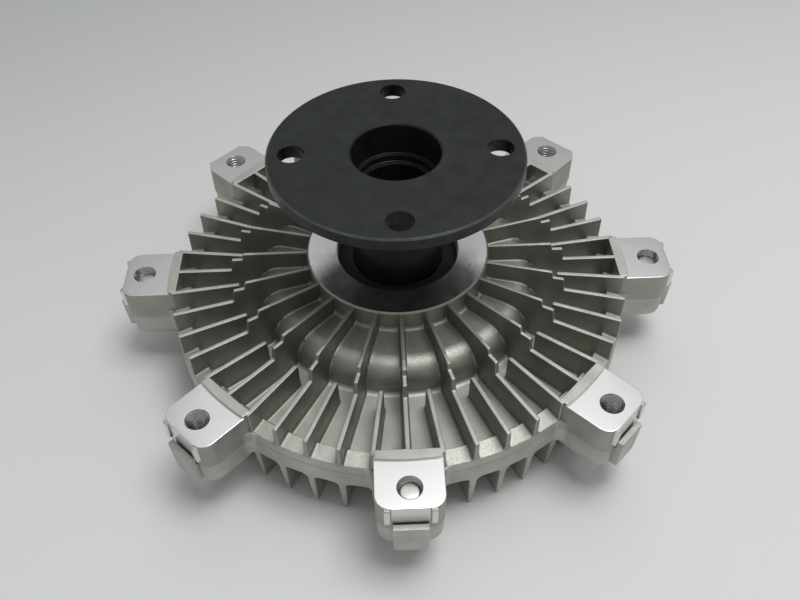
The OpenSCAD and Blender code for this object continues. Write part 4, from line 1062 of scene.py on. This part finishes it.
# %% The strip along its path
HALF_STRIP = STRIP_T / 2
along = np.gradient(path, axis=0)
along /= np.linalg.norm(along, axis=1, keepdims=True)
across = np.stack([-along[:, 1], along[:, 0]], -1)
strip_corners = [
    [-HALF_STRIP, coil_low[2]], [HALF_STRIP, coil_low[2]],
    [HALF_STRIP, coil_high[2]], [-HALF_STRIP, coil_high[2]],
]
strip = rounded(strip_corners, 0.25)
coil_xy = path[:, None] + across[:, None] * strip[None, :, :1]
coil_z = np.broadcast_to(strip[None, :, 1:], (len(path), len(strip), 1))
coil_rings = np.concatenate([coil_xy, coil_z], -1)
quarter = len(tongue) + len(bent) + int(np.searchsorted(phi, np.pi / 2))
coil = new_object("bimetal_coil_wound", capped(coil_rings[quarter:]))
dressed(coil, "housing", ["bimetal_coil"], [BIMETAL])
inner = new_object("bimetal_coil_inner_end", capped(coil_rings[:quarter + 1]))
dressed(inner, None, ["bimetal_coil"], [BIMETAL])
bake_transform(inner)

# %% [markdown]
# ## The small pieces
# The bearing, the rotor, the valve and the sheets between them are plain turned and stamped pieces that
# hardly show. Their CAD form is already the real one, so they only get their finish.

# %% Finishes of the nodes that keep their CAD form
NODE_FINISH = {
    "rotor_disc": FACED, "cover_seal_ring": RUBBER,
    "bearing_outer_ring": GROUND, "bearing_inner_ring": GROUND,
    "bearing_balls": GROUND, "bearing_cage": BRASS,
    "bearing_seal_rear": RUBBER, "bearing_seal_front": RUBBER,
    "bearing_retaining_ring": SPRING, "partition_plate": SHEET,
    "partition_rivets": GROUND, "pump_wiper": BRASS,
    "valve_arm": SHEET, "valve_shaft": GROUND,
    "valve_shaft_seal": RUBBER, "valve_shaft_clip": SPRING,
}
for node_name, finish in NODE_FINISH.items():
    for material_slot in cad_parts[node_name].material_slots:
        material_slot.material = finish
print("CAD nodes with a finish:", len(NODE_FINISH))

# %% [markdown]
# ## Studio
# The clutch stands on a pale sheet. A soft lamp above it, a little to the right, gives the form and the
# shadows. A wider, weaker one hangs behind: level faces mirror it towards the camera, most of all those
# in front, while the fins' sides mirror only each other and stay dark, their darker colour adding painted
# shade. The world adds a plain even light from all round. The sheet's colour falls off towards the back as
# painted shade, so no lamp has to do that.

# %% Floor
# The grey that the sheet falls to at the back is painted shade.
PALE, FALLOFF_SHADE_GREY = (0.7, 0.7, 0.695), (0.44, 0.45, 0.455)
FALL, FALL_START, FALL_END = (-0.35, 1.0, 0), -0.1, 0.5
FLOOR_HALF, FLOOR_COUNT, FLOOR_BELOW = 12.0, 13, 0.0001


def pale_sheet():
    """A pale sheet whose colour falls off into grey towards the back: painted shade, the falloff of light
    under one lamp.
    """
    material, shader = shader_of("pale sheet", PALE, 0.0, 0.6)
    place = add_node(material, "ShaderNodeTexCoord")
    slope = add_node(material, "ShaderNodeVectorMath", operation="DOT_PRODUCT")
    slope.inputs[1].default_value = FALL
    share = add_node(material, "ShaderNodeMapRange", interpolation_type="SMOOTHSTEP")
    share.inputs["From Min"].default_value = FALL_START
    share.inputs["From Max"].default_value = FALL_END
    ramp = add_node(material, "ShaderNodeValToRGB")
    ramp.color_ramp.elements[0].color = (*PALE, 1)
    ramp.color_ramp.elements[1].color = (*FALLOFF_SHADE_GREY, 1)
    links = material.node_tree.links
    links.new(place.outputs["Object"], slope.inputs[0])
    links.new(slope.outputs["Value"], share.inputs["Value"])
    links.new(share.outputs["Result"], ramp.inputs["Fac"])
    links.new(ramp.outputs["Color"], shader.inputs["Base Color"])
    return material


floor_u = np.linspace(-FLOOR_HALF, FLOOR_HALF, FLOOR_COUNT)
floor_x, floor_y = np.meshgrid(floor_u, floor_u, indexing="ij")
floor_points = np.stack([floor_x, floor_y, 0 * floor_x - FLOOR_BELOW], -1).reshape(-1, 3) / MM
floor = new_object("floor", (floor_points, [grid_faces(FLOOR_COUNT, FLOOR_COUNT)]))
floor.data.materials.append(pale_sheet())
print("floor in metres:", 2 * FLOOR_HALF)

# %% Lamps and world
LOOK_AT = (0, 0, 0.03)
WORLD_COLOUR, WORLD_STRENGTH = (0.8, 0.81, 0.82, 1), 0.47


def soft_lamp(name, place, size, power):
    """A rectangular area lamp at a place in metres, turned to look at the clutch."""
    data = bpy.data.lights.new(name, "AREA")
    data.shape = "RECTANGLE"
    data.size, data.size_y = size
    data.energy = power
    lamp = bpy.data.objects.new(name, data)
    scene.collection.objects.link(lamp)
    ahead = np.array(LOOK_AT, float) - np.array(place, float)
    ahead /= np.linalg.norm(ahead)
    side = np.cross(ahead, [0, 0, 1])
    side /= np.linalg.norm(side)
    basis = np.eye(4)
    basis[:3, :3] = np.column_stack([side, np.cross(side, ahead), -ahead])
    basis[:3, 3] = place
    lamp.matrix_world = Matrix(basis.tolist())


soft_lamp("top lamp", place=(0.26, -0.06, 1.15), size=(0.55, 0.55), power=7.3)
soft_lamp("back lamp", place=(0.05, 0.54, 1.05), size=(0.85, 0.7), power=1.35)
world = bpy.data.worlds.new("studio")
world.use_nodes = True
world.node_tree.nodes["Background"].inputs["Color"].default_value = WORLD_COLOUR
world.node_tree.nodes["Background"].inputs["Strength"].default_value = WORLD_STRENGTH
scene.world = world
print("lamps:", len(bpy.data.lights))
